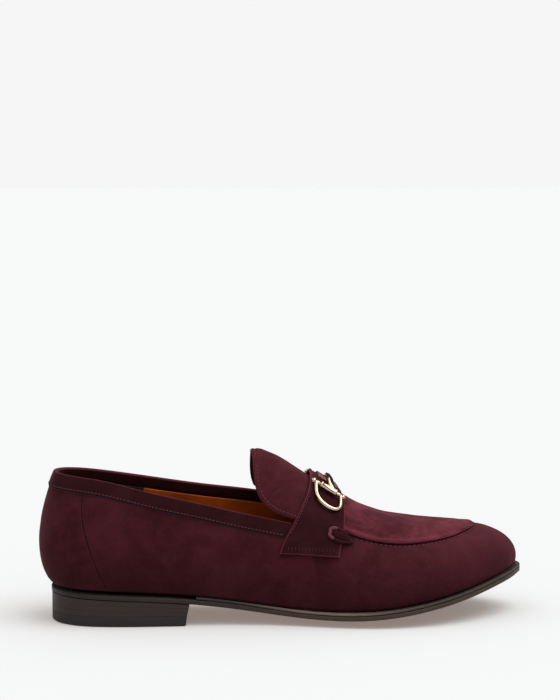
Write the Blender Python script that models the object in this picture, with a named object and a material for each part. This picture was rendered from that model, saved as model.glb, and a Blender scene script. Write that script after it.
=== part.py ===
"""Snaffle loafer for the right foot, men's size 42, in metres.

+X runs from the heel to the toe, +Y from the outer (lateral) side to the inner (medial) side,
+Z up. The ground is at z = 0 and the origin lies under the middle of the whole shoe.

Every upper piece lies on one foot form. A point of the form is found by `around`, the place along
the outline of the sole (0 at the heel, about a half at the toe, lateral side first), and by `rise`,
from 0 where the upper meets the sole to 1 on the ridge along the top. Layers are offsets of it.
"""

import bmesh
import bpy
import numpy as np
from mathutils import Matrix, Vector

LATERAL, MEDIAL = -1, 1

# Layers of the upper, from the outer face of the side wall inwards. Touching layers keep GAP.
GAP = 0.0004
SUEDE = 0.0013
STIFFENER = 0.0007
LINING = 0.0008
WALL_IN = -SUEDE
STIFFENER_OUT = WALL_IN - GAP - 0.0001
STIFFENER_IN = STIFFENER_OUT - STIFFENER
LINING_OUT = STIFFENER_IN - GAP
LINING_IN = LINING_OUT - LINING

# Layers of the bottom, measured down from the feather line, where the upper meets the welt.
BOTTOM_GAP = 0.0003
WELT = 0.0015
OUTSOLE = 0.0030
INSOLE = 0.0022
SOCK = 0.0009
HEEL_PAD = 0.0025
WELT_TOP = -BOTTOM_GAP
WELT_BOTTOM = WELT_TOP - WELT
OUTSOLE_TOP = WELT_BOTTOM - BOTTOM_GAP
OUTSOLE_BOTTOM = OUTSOLE_TOP - OUTSOLE
WELT_WIDTH = 0.0105
SHANK_WIDTH = 0.0110

# Heel block.
HEEL_BREAST = -0.0590
HEEL_BREAST_SLANT = 0.0022
HEEL_EDGE = 0.0012
TOP_PIECE = 0.0065
LIFTS = 3
NAIL_RADIUS = 0.0011
NAIL_HEAD_RADIUS = 0.0022
NAIL_HEAD = 0.0010
NAIL_RECESS = 0.0004
NAIL_TOP = 0.0112

# Upper pieces.
COLLAR_OUTSIDE = 0.0064
COLLAR_INSIDE = 0.0058
COLLAR_THICKNESS = 0.0009
APRON_THICKNESS = 0.0012
APRON_BACK = 0.0200
APRON_LAP = 0.050
STRAP_THICKNESS = 0.0017
STRAP_FOOT_LAP = 0.0004
TONGUE_ROOT = 0.0190
TONGUE_TIP = -0.0195
TONGUE_ROUNDING = 0.0220
TONGUE_LINING_INSET = 0.0032
TONGUE_SIDE_RISE = 0.430
TONGUE_CLEARANCE = 0.034
TONGUE_HINGE = (0.0170, 0.0, 0.0830)

# Snaffle: two D rings on the ends of a mouthpiece that lies across the strap.
RING_WIRE = 0.0011
RING_BAR_LENGTH = 0.0205
RING_BOW_DEPTH = 0.0152
RING_BALL = 0.0016
EYE_CLEARANCE = 0.0003
EYE_WALL = 0.0007
EYE_WIDTH = 0.0112
MOUTHPIECE_WIDTH = 0.0046
MOUTHPIECE_THICKNESS = 0.0022
SNAFFLE_PLACE = 0.0272
RING_SLIDE = -0.0025
SNAFFLE_RISE = 0.735
SNAFFLE_HEIGHT = 0.0028
RING_LEAN = -12.0
KEEPER_LENGTH = 0.0134
KEEPER_THICKNESS = 0.0010


class Curve:
    """A smooth cubic curve through points, by chord length or by given knots, open or closed."""

    def __init__(self, points, knots=None, closed=False):
        p = np.array(points, float)
        if closed:
            p = np.vstack([p, p[:1]])
        if knots is None:
            steps = np.linalg.norm(np.diff(p, axis=0), axis=1)
            knots = np.concatenate([[0.0], np.cumsum(steps)]) / steps.sum()
        self.knots, self.points, self.closed = np.array(knots, float), p, closed
        count, step = len(p), np.diff(self.knots)
        rate = np.diff(p, axis=0) / step[:, None]
        weights, sums = np.zeros((count, count)), np.zeros_like(p)
        for i in range(1, count - 1):
            weights[i, i - 1 : i + 2] = step[i], 2 * (step[i - 1] + step[i]), step[i - 1]
            sums[i] = 3 * (step[i] * rate[i - 1] + step[i - 1] * rate[i])
        if closed:
            weights[0, 0], weights[0, -1] = 1, -1
            weights[-1, 0] = 2 * (step[-1] + step[0])
            weights[-1, 1], weights[-1, -2] = step[-1], step[0]
            sums[-1] = 3 * (step[-1] * rate[0] + step[0] * rate[-1])
        else:
            weights[0, :2], sums[0] = (2, 1), 3 * rate[0]
            weights[-1, -2:], sums[-1] = (1, 2), 3 * rate[-1]
        self.slopes = np.linalg.solve(weights, sums)

    def __call__(self, place):
        place = np.asarray(place, float)
        ends = self.knots[0], self.knots[-1]
        place = np.mod(place, 1.0) if self.closed else np.clip(place, *ends)
        i = np.clip(np.searchsorted(self.knots, place, side="right") - 1, 0, len(self.knots) - 2)
        step = self.knots[i + 1] - self.knots[i]
        s = ((place - self.knots[i]) / step)[..., None]
        step = step[..., None]
        found = (
            (1 + 2 * s) * (1 - s) ** 2 * self.points[i]
            + s * (1 - s) ** 2 * step * self.slopes[i]
            + s * s * (3 - 2 * s) * self.points[i + 1]
            + s * s * (s - 1) * step * self.slopes[i + 1]
        )
        return found[..., 0] if found.shape[-1] == 1 else found


def guide(*rows):
    """A smooth function of the place along the shoe, through (place, value) rows."""
    table = np.array(rows, float)
    return Curve(table[:, 1:], knots=table[:, 0])


# The foot form. The outline is where the upper meets the sole, seen from above.
OUTLINE = Curve(
    [
        (-0.141, 0.000),
        (-0.137, -0.015), (-0.126, -0.025), (-0.108, -0.030), (-0.085, -0.0315),
        (-0.058, -0.0315), (-0.030, -0.032), (0.000, -0.0355), (0.028, -0.042),
        (0.050, -0.046), (0.070, -0.046), (0.090, -0.042), (0.108, -0.0345),
        (0.124, -0.024), (0.137, -0.012), (0.144, -0.001),
        (0.1465, 0.007),
        (0.1445, 0.015), (0.137, 0.026), (0.123, 0.0355), (0.105, 0.043),
        (0.085, 0.046), (0.066, 0.046), (0.045, 0.042), (0.020, 0.034),
        (-0.010, 0.028), (-0.035, 0.027), (-0.058, 0.0285), (-0.085, 0.0305),
        (-0.108, 0.0295), (-0.126, 0.0245), (-0.137, 0.0145),
    ],
    closed=True,
)
feather_height = guide(
    (-0.142, 0.0230), (-0.110, 0.0216), (-0.060, 0.0186), (-0.030, 0.0150), (0.000, 0.0110),
    (0.030, 0.0094), (0.060, 0.0110), (0.090, 0.0156), (0.115, 0.0210), (0.135, 0.0260),
    (0.147, 0.0285),
)
ridge_height = guide(
    (-0.114, 0.1210), (-0.080, 0.1180), (-0.045, 0.1130), (-0.017, 0.1037), (0.000, 0.0962),
    (0.012, 0.0888), (0.026, 0.0794), (0.042, 0.0688), (0.062, 0.0601), (0.080, 0.0570),
    (0.100, 0.0550),
)
ridge_side = guide(
    (-0.114, 0.0), (-0.050, 0.0005), (0.000, 0.002), (0.040, 0.005), (0.080, 0.007), (0.100, 0.007)
)
# The ridge is shorter than the outline, so sections fan out at both ends.
ridge_place = guide(
    (-0.1410, -0.1140), (-0.1124, -0.1035), (-0.0695, -0.0685), (0.0020, 0.0020),
    (0.0592, 0.0525), (0.1021, 0.0830), (0.1465, 0.1000),
)
fullness = guide((-0.141, 2.1), (-0.060, 2.1), (0.000, 2.1), (0.050, 2.2), (0.100, 2.4), (0.147, 2.6))
bulge = {
    LATERAL: guide(
        (-0.141, 0.0095), (-0.120, 0.0063), (-0.080, 0.0030), (-0.030, 0.0020),
        (0.030, 0.0030), (0.070, 0.0030), (0.120, 0.0020), (0.147, 0.0015),
    ),
    MEDIAL: guide(
        (-0.141, 0.0095), (-0.120, 0.0063), (-0.080, 0.0025), (-0.030, 0.0010),
        (0.030, 0.0010), (0.070, 0.0030), (0.120, 0.0020), (0.147, 0.0015),
    ),
}
BULGE_PEAK = 0.32
SIDE_BLEND = 0.020
BEND_WEIGHT = 0.090
ROW_EASE = 1.7
# Height of the top line above the ground, and rise of the apron's seam.
top_line_height = {
    LATERAL: guide(
        (-0.141, 0.0908), (-0.112, 0.0876), (-0.086, 0.0812), (-0.048, 0.0723),
        (-0.027, 0.0673), (-0.005, 0.0628), (0.010, 0.0595),
    ),
    MEDIAL: guide(
        (-0.141, 0.0908), (-0.112, 0.0868), (-0.086, 0.0830), (-0.064, 0.0798),
        (-0.048, 0.0777), (-0.017, 0.0740), (-0.005, 0.0720), (0.010, 0.0692),
    ),
}
TOP_LINE_END = 0.0100
apron_rise = guide(
    (0.010, 0.500), (0.040, 0.500), (0.065, 0.510), (0.085, 0.530), (0.105, 0.575),
    (0.122, 0.640), (0.135, 0.700), (0.1465, 0.760),
)
# Where the heel piece ends on the side, and the strap's edges, against rise.
heel_seam_place = guide(
    (0.0, -0.1085), (0.10, -0.1150), (0.18, -0.1190), (0.27, -0.1223), (0.40, -0.1236), (0.65, -0.1250)
)
strap_back = guide(
    (0.20, -0.0055), (0.28, -0.0022), (0.36, 0.0020), (0.45, 0.0064), (0.60, 0.0120), (1.00, 0.0160)
)
strap_front = guide((0.20, 0.0315), (0.33, 0.0322), (0.45, 0.0345), (0.60, 0.0360), (1.00, 0.0372))
strap_foot_rise = guide((0.0, 0.232), (1.0, 0.302))

_near = np.linspace(-0.02, 0.02, 2001)
HEEL = _near[np.argmin(OUTLINE(_near)[:, 0])]
_fine = HEEL + np.linspace(0.0, 1.0, 4001)
_fine_x = OUTLINE(_fine)[:, 0]
TOE = _fine[np.argmax(_fine_x)]
HEEL_END, TOE_END = _fine_x[0], _fine_x.max()


def around_at(x, side):
    """The place along the outline that lies at length x on one side."""
    half = _fine <= TOE if side == LATERAL else _fine >= TOE
    xs, places = _fine_x[half], _fine[half]
    if side == MEDIAL:
        xs, places = xs[::-1], places[::-1]
    return np.interp(x, xs, places)


def even_steps(start, end, count):
    """Places between two places, closer together where the outline bends."""
    line = np.linspace(start, end, 1201)
    step = np.diff(OUTLINE(line), axis=0)
    length = np.linalg.norm(step, axis=1)
    heading = np.unwrap(np.arctan2(step[:, 1], step[:, 0]))
    bend = np.abs(np.diff(heading, prepend=heading[0]))
    measure = np.concatenate([[0.0], np.cumsum(length + BEND_WEIGHT * bend)])
    return np.interp(np.linspace(0, measure[-1], count), measure, line)


def outline_frame(around):
    """Point of the outline and its outward direction in plan."""
    small = 1e-4
    along = OUTLINE(around + small) - OUTLINE(around - small)
    out = np.stack([along[..., 1], -along[..., 0]], -1)
    return OUTLINE(around), out / np.linalg.norm(out, axis=-1, keepdims=True)


def medial_share(y):
    """0 on the lateral side, 1 on the medial side, smooth across the heel and the toe."""
    share = np.clip((y + SIDE_BLEND) / (2 * SIDE_BLEND), 0, 1)
    return share * share * (3 - 2 * share)


def form(around, rise):
    """Points on the outer face of the side wall."""
    around, rise = np.broadcast_arrays(np.asarray(around, float), np.asarray(rise, float))
    foot, out = outline_frame(around)
    x, share = foot[..., 0], medial_share(foot[..., 1])
    top = ridge_place(x)
    crest = np.stack([top, ridge_side(top)], -1)
    power = 2 / fullness(x)
    up = np.sin(np.pi / 2 * rise) ** power
    inward = 1 - np.cos(np.pi / 2 * rise) ** power
    swell = (bulge[LATERAL](x) * (1 - share) + bulge[MEDIAL](x) * share) * np.sin(
        np.pi * up ** (np.log(0.5) / np.log(BULGE_PEAK))
    )
    plan = foot + (crest - foot) * inward[..., None] + out * swell[..., None]
    low = feather_height(x)
    return np.concatenate([plan, (low + (ridge_height(top) - low) * up)[..., None]], -1)


def rise_at_height(around, z):
    """The rise at which the form reaches a height."""
    x = OUTLINE(around)[..., 0]
    low = feather_height(x)
    up = np.clip((z - low) / (ridge_height(ridge_place(x)) - low), 0, 1)
    return 2 / np.pi * np.arcsin(up ** (fullness(x) / 2))


def top_line_rise(around):
    """Rise of the opening's edge, as far forward as the strap."""
    foot = OUTLINE(around)
    x, share = np.minimum(foot[..., 0], TOP_LINE_END), medial_share(foot[..., 1])
    z = top_line_height[LATERAL](x) * (1 - share) + top_line_height[MEDIAL](x) * share
    return rise_at_height(around, z)


def wall_top_rise(around):
    """Upper edge of the side wall: the top line, then under the strap to the apron's lap."""
    x = OUTLINE(around)[..., 0]
    apron_edge = apron_rise(x) + APRON_LAP
    share = np.clip((x - TOP_LINE_END) / (0.036 - TOP_LINE_END), 0, 1)
    share = share * share * (3 - 2 * share)
    return top_line_rise(around) * (1 - share) + apron_edge * share


def rise_step(around, rise, distance):
    """The rise reached by going down the wall by a distance."""
    small = 1e-3
    length = np.linalg.norm(form(around, rise) - form(around, rise - small), axis=-1) / small
    return rise - distance / length


def round_toe(start, count):
    """Places from one length on the lateral side round the toe to the same on the medial side."""
    return even_steps(around_at(start, LATERAL), around_at(start, MEDIAL), count)


def round_heel(start, count):
    """Places from one length on the medial side round the heel to the same on the lateral side."""
    return even_steps(around_at(start, MEDIAL), 1 + around_at(start, LATERAL), count)


def outward(around, rise):
    """Unit normals of the form."""
    rise = np.clip(rise, 0.004, 0.996)
    small = 1e-4
    across = form(around + small, rise) - form(around - small, rise)
    up = form(around, rise + small) - form(around, rise - small)
    normal = np.cross(across, up)
    return normal / np.linalg.norm(normal, axis=-1, keepdims=True)


def wall_grid(around, low, high, rows):
    """Places and rises of a grid, one column for each place, from the low rise to the high one."""
    share = np.linspace(0, 1, rows) ** ROW_EASE
    around = np.asarray(around, float)
    low, high = np.broadcast_to(low, around.shape), np.broadcast_to(high, around.shape)
    return np.broadcast_arrays(around[:, None], low[:, None] + (high - low)[:, None] * share)


def across_ridge(lateral, medial):
    """One grid over the ridge from two that each end on it."""
    return [
        np.concatenate([first, second[:, -2::-1]], axis=1)
        for first, second in zip(np.broadcast_arrays(*lateral), np.broadcast_arrays(*medial))
    ]


def arch_grid(xs, edge, rows, ease=1.0):
    """A grid over the ridge, one column for each length, from the lateral edge to the medial one.
    edge gives the lowest rise for (x, side)."""
    share = np.linspace(0, 1, rows) ** ease
    halves = []
    for side in (LATERAL, MEDIAL):
        low = edge(xs, side)[:, None]
        halves.append((around_at(xs[:, None], side), low + (1 - low) * share))
    return across_ridge(*halves)


def materials():
    """Named materials: base colour, roughness, metallic."""
    table = {
        "burgundy_suede": ((0.075, 0.014, 0.020), 0.95, 0.0),
        "burgundy_leather": ((0.085, 0.018, 0.024), 0.55, 0.0),
        "tan_leather": ((0.42, 0.17, 0.045), 0.55, 0.0),
        "dark_leather": ((0.045, 0.032, 0.027), 0.45, 0.0),
        "natural_leather": ((0.30, 0.19, 0.11), 0.60, 0.0),
        "black_rubber": ((0.022, 0.019, 0.018), 0.70, 0.0),
        "cork": ((0.36, 0.22, 0.12), 0.90, 0.0),
        "stiffener_board": ((0.55, 0.45, 0.33), 0.80, 0.0),
        "foam": ((0.75, 0.70, 0.55), 0.90, 0.0),
        "steel": ((0.55, 0.55, 0.56), 0.35, 1.0),
        "pale_gold": ((0.83, 0.66, 0.44), 0.18, 1.0),
        "brass": ((0.72, 0.52, 0.22), 0.35, 1.0),
    }
    made = {}
    for name, (colour, roughness, metallic) in table.items():
        material = bpy.data.materials.new(name)
        material.use_nodes = True
        shader = material.node_tree.nodes["Principled BSDF"]
        shader.inputs["Base Color"].default_value = (*colour, 1.0)
        shader.inputs["Roughness"].default_value = roughness
        shader.inputs["Metallic"].default_value = metallic
        material.diffuse_color = (*colour, 1.0)
        made[name] = material
    return made


def place(mesh_or_bmesh, name, material, parent=None, sharp=40.0):
    """Puts a mesh in the scene as one named sub-part, shaded smooth."""
    mesh = mesh_or_bmesh
    if isinstance(mesh_or_bmesh, bmesh.types.BMesh):
        bmesh.ops.recalc_face_normals(mesh_or_bmesh, faces=mesh_or_bmesh.faces)
        if mesh_or_bmesh.calc_volume(signed=True) < 0:
            bmesh.ops.reverse_faces(mesh_or_bmesh, faces=mesh_or_bmesh.faces)
        mesh = bpy.data.meshes.new(name)
        mesh_or_bmesh.to_mesh(mesh)
        mesh_or_bmesh.free()
    mesh.materials.append(material)
    mesh.shade_smooth()
    mesh.set_sharp_from_angle(angle=np.radians(sharp))
    made = bpy.data.objects.new(name, mesh)
    bpy.context.scene.collection.objects.link(made)
    if parent is not None:
        made.parent = parent
    return made


def solid_between(outer, inner, folded_end=False, ring=False):
    """A closed solid between two grids of the same size. A folded end is the toe, where the
    grid's two halves meet, and a ring's last column meets its first."""
    shape = bmesh.new()
    columns, rows = outer.shape[:2]
    faces = [[[shape.verts.new(p) for p in column] for column in grid] for grid in (outer, inner)]
    last = columns if ring else columns - 1
    for i in range(last):
        for j in range(rows - 1):
            k = (i + 1) % columns
            for sheet, turn in ((faces[0], 1), (faces[1], -1)):
                shape.faces.new([sheet[i][j], sheet[k][j], sheet[k][j + 1], sheet[i][j + 1]][::turn])
        k = (i + 1) % columns
        for j in (0, rows - 1):
            shape.faces.new([faces[0][i][j], faces[1][i][j], faces[1][k][j], faces[0][k][j]])
    for i in () if ring else (0,) if folded_end else (0, columns - 1):
        for j in range(rows - 1):
            shape.faces.new(
                [faces[0][i][j], faces[1][i][j], faces[1][i][j + 1], faces[0][i][j + 1]]
            )
    bmesh.ops.remove_doubles(shape, verts=shape.verts, dist=2e-6)
    return shape


def layer(grid, outer, inner, folded=False):
    """The solid between two offsets of a grid of places and rises on the form."""
    points, normal = form(*grid), outward(*grid)
    high = points + normal * np.broadcast_to(outer, points.shape[:2])[..., None]
    low = points + normal * np.broadcast_to(inner, points.shape[:2])[..., None]
    return solid_between(high, low, folded_end=folded)


# ---- bottom ----

tread_dip = guide(
    (-0.141, 0.0), (-0.060, 0.0), (-0.035, 0.0016), (0.000, 0.0040), (0.030, 0.0050),
    (0.055, 0.0052), (0.075, 0.0044), (0.100, 0.0028), (0.125, 0.0012), (0.1464, 0.0),
)
sole_margin = guide(
    (-0.142, HEEL_EDGE), (-0.060, HEEL_EDGE), (-0.030, 0.0010), (0.000, 0.0018),
    (0.030, 0.0034), (0.070, 0.0040), (0.147, 0.0036),
)


def bottom_grid(grow, start, end, columns, rows, closed_start=True, closed_end=True):
    """Plan points inside the outline grown by grow(x), a column across the shoe for each length."""
    phase = np.linspace(0, 1, columns)
    ease_in, ease_out = float(closed_start), float(closed_end)
    # A closed end is sampled more finely, because the outline turns sharply there.
    bend = phase - (ease_in * np.sin(2 * np.pi * phase) * (phase < 0.5)
                    + ease_out * np.sin(2 * np.pi * phase) * (phase >= 0.5)) / (2 * np.pi)
    xs = start + (end - start) * bend
    edges = []
    for side in (LATERAL, MEDIAL):
        foot, out = outline_frame(around_at(xs, side))
        edges.append(foot + out * np.asarray(grow(xs))[:, None])
    share = np.linspace(0, 1, rows)[None, :, None]
    return edges[0][:, None] * (1 - share) + edges[1][:, None] * share


def bottom_height(plan, level):
    """Height of a bottom layer: the feather line plus its level, less the sag in the middle."""
    x, y = plan[..., 0], plan[..., 1]
    lateral, medial = (OUTLINE(around_at(x, side))[..., 1] for side in (LATERAL, MEDIAL))
    half = np.maximum((medial - lateral) / 2, 1e-4)
    across = np.clip((y - (medial + lateral) / 2) / half, -1, 1)
    sag = (1 - across**2) * np.clip(half / 0.015, 0, 1)
    return feather_height(x) + level - tread_dip(x) * sag


def bottom_layer(grow, low, high, start=None, end=None, columns=30, rows=7,
                 closed_start=True, closed_end=True):
    """The upper and lower sheets of a layer of the bottom between two levels."""
    start = HEEL_END if start is None else start
    end = TOE_END if end is None else end
    plan = bottom_grid(grow, start, end, columns, rows, closed_start, closed_end)
    return [raised(plan, level) for level in (high, low)]


def raised(plan, level):
    """Plan points at their heights in the bottom."""
    return np.concatenate([plan, bottom_height(plan, level)[..., None]], -1)


def make_bottom(paint, root):
    """Outsole, welt, cork, shank, insole, heel pad and sock."""
    top, under = bottom_layer(sole_margin, OUTSOLE_BOTTOM, OUTSOLE_TOP, columns=38, rows=9)
    under[..., 2] = np.maximum(under[..., 2], 0.0)
    place(solid_between(top, under), "outsole", paint["dark_leather"], root)

    foot, out = outline_frame(round_toe(HEEL_BREAST + 0.004, 54))
    plan = np.stack(
        [
            foot + out * (sole_margin(foot[:, 0]) - inset)[:, None]
            for inset in np.linspace(0, WELT_WIDTH, 4)
        ],
        axis=1,
    )
    place(
        solid_between(raised(plan, WELT_TOP), raised(plan, WELT_BOTTOM)), "welt",
        paint["natural_leather"], root,
    )

    def inside(margin):
        return lambda x: margin + 0 * x

    high, low = bottom_layer(
        lambda x: sole_margin(x) - WELT_WIDTH - 0.0012, WELT_BOTTOM, WELT_TOP, 0.004, 0.128,
        14, 6, False, False,
    )
    place(solid_between(high, low), "cork_filler", paint["cork"], root)

    plan = bottom_grid(inside(0.0), -0.100, -0.004, 10, 3, False, False)
    middle = plan.mean(axis=1, keepdims=True)
    plan = middle + np.array([[0, -SHANK_WIDTH / 2], [0, 0], [0, SHANK_WIDTH / 2]])[None]
    place(
        solid_between(raised(plan, WELT_TOP - 0.0002), raised(plan, WELT_BOTTOM + 0.0002)),
        "shank", paint["steel"], root,
    )

    high, low = bottom_layer(inside(LINING_IN - 0.0006), 0.0002, INSOLE)
    place(solid_between(high, low), "insole", paint["natural_leather"], root)

    pad_low = INSOLE + BOTTOM_GAP + 0.0002
    high, low = bottom_layer(
        inside(LINING_IN - 0.0060), pad_low, pad_low + HEEL_PAD, None, -0.070, 12, 6, True, False
    )
    place(solid_between(high, low), "heel_pad", paint["foam"], root)

    plan = bottom_grid(inside(LINING_IN - 0.0008), HEEL_END, TOE_END, 34, 8)
    lift = pad_low + (HEEL_PAD + BOTTOM_GAP) * (1 - np.clip((plan[..., 0] + 0.068) / 0.022, 0, 1))
    place(
        solid_between(raised(plan, lift + SOCK), raised(plan, lift)), "sock_lining",
        paint["tan_leather"], root,
    )


def heel_plan(columns, rows, level_share):
    """Plan points of a heel layer. Its front face slants forward towards the top."""
    front = HEEL_BREAST - HEEL_BREAST_SLANT * (1 - level_share)
    return bottom_grid(lambda x: HEEL_EDGE + 0 * x, HEEL_END, front, columns, rows, True, False)


def heel_level(plan, share):
    """Height in the heel, from the ground at 0 to the sole's underside at 1."""
    seat = feather_height(plan[..., 0]) + OUTSOLE_BOTTOM - BOTTOM_GAP
    return TOP_PIECE + (seat - TOP_PIECE) * share


def make_heel(paint, root):
    """Rubber top piece, leather lifts, and the nails that hold them."""
    columns, rows = 16, 7
    blocks = []
    low, high = heel_plan(columns, rows, 0.0), heel_plan(columns, rows, 0.3)
    foot = np.concatenate([low, np.zeros((*low.shape[:2], 1))], -1)
    head = np.concatenate([high, np.full((*high.shape[:2], 1), TOP_PIECE - BOTTOM_GAP)], -1)
    blocks.append(
        place(solid_between(head, foot), "heel_top_piece", paint["black_rubber"], root)
    )
    for i in range(LIFTS):
        faces = []
        for share, gap in (((i + 1) / LIFTS, BOTTOM_GAP), (i / LIFTS, 0.0)):
            plan = heel_plan(columns, rows, 0.3 + 0.7 * share)
            height = heel_level(plan, share) - gap * (share < 1)
            faces.append(np.concatenate([plan, height[..., None]], -1))
        blocks.append(
            place(solid_between(*faces), f"heel_lift_{i + 1}", paint["dark_leather"], root)
        )
    for i, (x, y) in enumerate(
        [(-0.131, 0.0), (-0.118, -0.0205), (-0.118, 0.0200), (-0.090, -0.0235), (-0.090, 0.0225),
         (-0.067, -0.0230), (-0.067, 0.0205)]
    ):
        make_nail(paint, root, blocks, f"heel_nail_{i + 1}", x, y)


def turned(name, profile, segments):
    """A bmesh turned about +Z from (radius, height) points that start and end on the axis."""
    shape = bmesh.new()
    points = [shape.verts.new((r, 0.0, z)) for r, z in profile]
    edges = [shape.edges.new(pair) for pair in zip(points, points[1:])]
    bmesh.ops.spin(
        shape, geom=points + edges, axis=(0, 0, 1), cent=(0, 0, 0),
        steps=segments, angle=2 * np.pi, use_merge=True,
    )
    bmesh.ops.remove_doubles(shape, verts=shape.verts, dist=2e-6)
    return shape


def make_nail(paint, root, blocks, name, x, y):
    """One headed nail, and the hole for it in the heel's layers."""
    def profile(grow, foot):
        neck = NAIL_RECESS + NAIL_HEAD + grow
        return [
            (0.0, foot), (NAIL_HEAD_RADIUS + grow, foot), (NAIL_HEAD_RADIUS + grow, neck),
            (NAIL_RADIUS + grow, neck), (NAIL_RADIUS + grow, NAIL_TOP + grow),
            (0.0, NAIL_TOP + grow),
        ]

    nail = place(turned(name, profile(0.0, NAIL_RECESS), 10), name, paint["brass"], root)
    nail.location = (x, y, 0.0)
    hole = place(turned(name, profile(GAP, -0.002), 10), name + "_hole", paint["brass"], root)
    hole.location = (x, y, 0.0)
    hole.hide_render = True
    hole.display_type = "WIRE"
    for block in blocks:
        cut = block.modifiers.new(name, "BOOLEAN")
        cut.operation = "DIFFERENCE"
        cut.object = hole


# ---- upper ----


def between_seams(places, first, last):
    """Places stretched to run from first to last, which may differ from row to row."""
    share = (places - places[0]) / (places[-1] - places[0])
    return first + (last - first) * share[:, None]


def make_walls(paint, root):
    """The side wall round the toe, and the heel piece behind it."""
    share = np.linspace(0, 1, 9) ** ROW_EASE
    seam = heel_seam_place(0.65 * share)
    places = between_seams(
        round_toe(-0.112, 66), around_at(seam + GAP, LATERAL), around_at(seam + GAP, MEDIAL)
    )
    rise = wall_top_rise(places) * share
    place(
        layer((places, rise), 0.0, WALL_IN), "vamp_wall", paint["burgundy_suede"], root
    )
    places = between_seams(
        round_heel(-0.112, 24), around_at(seam, MEDIAL), 1 + around_at(seam, LATERAL)
    )
    rise = top_line_rise(places) * share
    place(
        layer((places, rise), 0.0, WALL_IN), "heel_piece", paint["burgundy_suede"], root
    )


def make_collar(paint, root):
    """Folded band over the top line: outer leg, fold and inner leg, as one strip."""
    middle = round_heel(0.002, 46)
    gap = GAP + 0.0001
    fold = -gap - COLLAR_THICKNESS
    out_low, out_high = gap, gap + COLLAR_THICKNESS
    in_high, in_low = WALL_IN - gap, WALL_IN - gap - COLLAR_THICKNESS
    shown = [
        (out_high, COLLAR_OUTSIDE), (out_high, 0.0032), (out_high, 0.0002),
        (out_high * 0.5, fold), (in_low * 0.6, fold),
        (in_low, 0.0002), (in_low, 0.0030), (in_low, COLLAR_INSIDE),
    ]
    hidden = [
        (out_low, COLLAR_OUTSIDE), (out_low, 0.0032), (out_low, 0.0),
        (out_low * 0.9, -gap), (in_high * 0.95, -gap),
        (in_high, 0.0), (in_high, 0.0030), (in_high, COLLAR_INSIDE),
    ]

    def sheet(points):
        rows = []
        for offset, down in points:
            ends = []
            for side in (MEDIAL, LATERAL):
                here = around_at(0.004, side)
                rise = rise_step(here, top_line_rise(here), down)
                ends.append(around_at(strap_back(rise) - 0.0008, side))
            places = between_seams(middle, ends[0], 1 + ends[1])[:, 0]
            top = top_line_rise(places)
            normal = outward(places, top - 0.01)
            rows.append(form(places, rise_step(places, top, down)) + normal * offset)
        return np.stack(rows, axis=1)

    place(solid_between(sheet(shown), sheet(hidden)), "collar_band", paint["burgundy_suede"], root)


def make_stiffeners(paint, root):
    """Toe puff and heel counter, between the suede and the lining."""
    places = round_toe(0.098, 22)
    grid = wall_grid(places, 0.06, apron_rise(OUTLINE(places)[:, 0]) - 0.06, 7)
    place(layer(grid, STIFFENER_OUT, STIFFENER_IN), "toe_puff", paint["stiffener_board"], root)
    places = round_heel(-0.078, 26)
    high = rise_step(places, top_line_rise(places), COLLAR_INSIDE + 0.002)
    grid = wall_grid(places, 0.06, high, 8)
    place(layer(grid, STIFFENER_OUT, STIFFENER_IN), "heel_counter", paint["stiffener_board"], root)


def make_linings(paint, root):
    """Vamp lining, two quarter linings and the heel grip."""
    back = 0.0205
    phase = np.linspace(0, 1, 24)
    xs = back + (TOE_END - back) * np.sin(np.pi / 2 * phase)
    grid = arch_grid(xs, lambda x, side: 0.02 + 0 * x, 11, ROW_EASE)
    place(
        layer(grid, LINING_OUT, LINING_IN, folded=True), "vamp_lining", paint["tan_leather"], root
    )
    joint = -0.0850
    for side, name in ((LATERAL, "lateral"), (MEDIAL, "medial")):
        places = np.sort(around_at(np.linspace(joint + GAP, back - 0.001, 12), side))
        high = rise_step(places, top_line_rise(places), COLLAR_INSIDE + GAP + 0.0002)
        grid = wall_grid(places, 0.02, high, 7)
        place(
            layer(grid, LINING_OUT, LINING_IN), f"quarter_lining_{name}",
            paint["tan_leather"], root,
        )
    places = round_heel(joint, 28)
    high = rise_step(places, top_line_rise(places), COLLAR_INSIDE + GAP + 0.0002)
    grid = wall_grid(places, 0.02, high, 8)
    place(layer(grid, LINING_OUT, LINING_IN), "heel_grip", paint["dark_leather"], root)


def make_apron(paint, root):
    """The plug over the forefoot, lapped over the wall's edge, and running back under the strap."""
    phase = np.linspace(0, 1, 24)
    xs = APRON_BACK + (TOE_END - APRON_BACK) * np.sin(np.pi / 2 * phase)

    def edge(x, side):
        return apron_rise(x)

    grid = arch_grid(xs, edge, 8)
    place(
        layer(grid, GAP + APRON_THICKNESS, GAP, folded=True), "apron", paint["burgundy_suede"], root
    )


def strap_lift(rise):
    """How high the strap lies: down on the wall at its feet, over the apron above its seam."""
    share = np.clip((rise - 0.40) / 0.10, 0, 1)
    share = share * share * (3 - 2 * share)
    return STRAP_FOOT_LAP + (GAP * 2 + APRON_THICKNESS - STRAP_FOOT_LAP) * share


def strap_grid(rows):
    """The strap's area on the form."""
    phase = np.linspace(0, 1, 7)[:, None]
    share = np.linspace(0, 1, rows)
    halves = []
    for side in (LATERAL, MEDIAL):
        low = strap_foot_rise(phase)
        rise = low + (1 - low) * share
        x = strap_back(rise) + (strap_front(rise) - strap_back(rise)) * phase
        halves.append((around_at(x, side), rise))
    return across_ridge(*halves)


def make_strap(paint, root):
    """The saddle strap over the instep."""
    grid = strap_grid(11)
    lift = strap_lift(grid[1])
    place(
        layer(grid, lift + STRAP_THICKNESS, lift), "saddle_strap", paint["burgundy_suede"], root
    )


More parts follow.
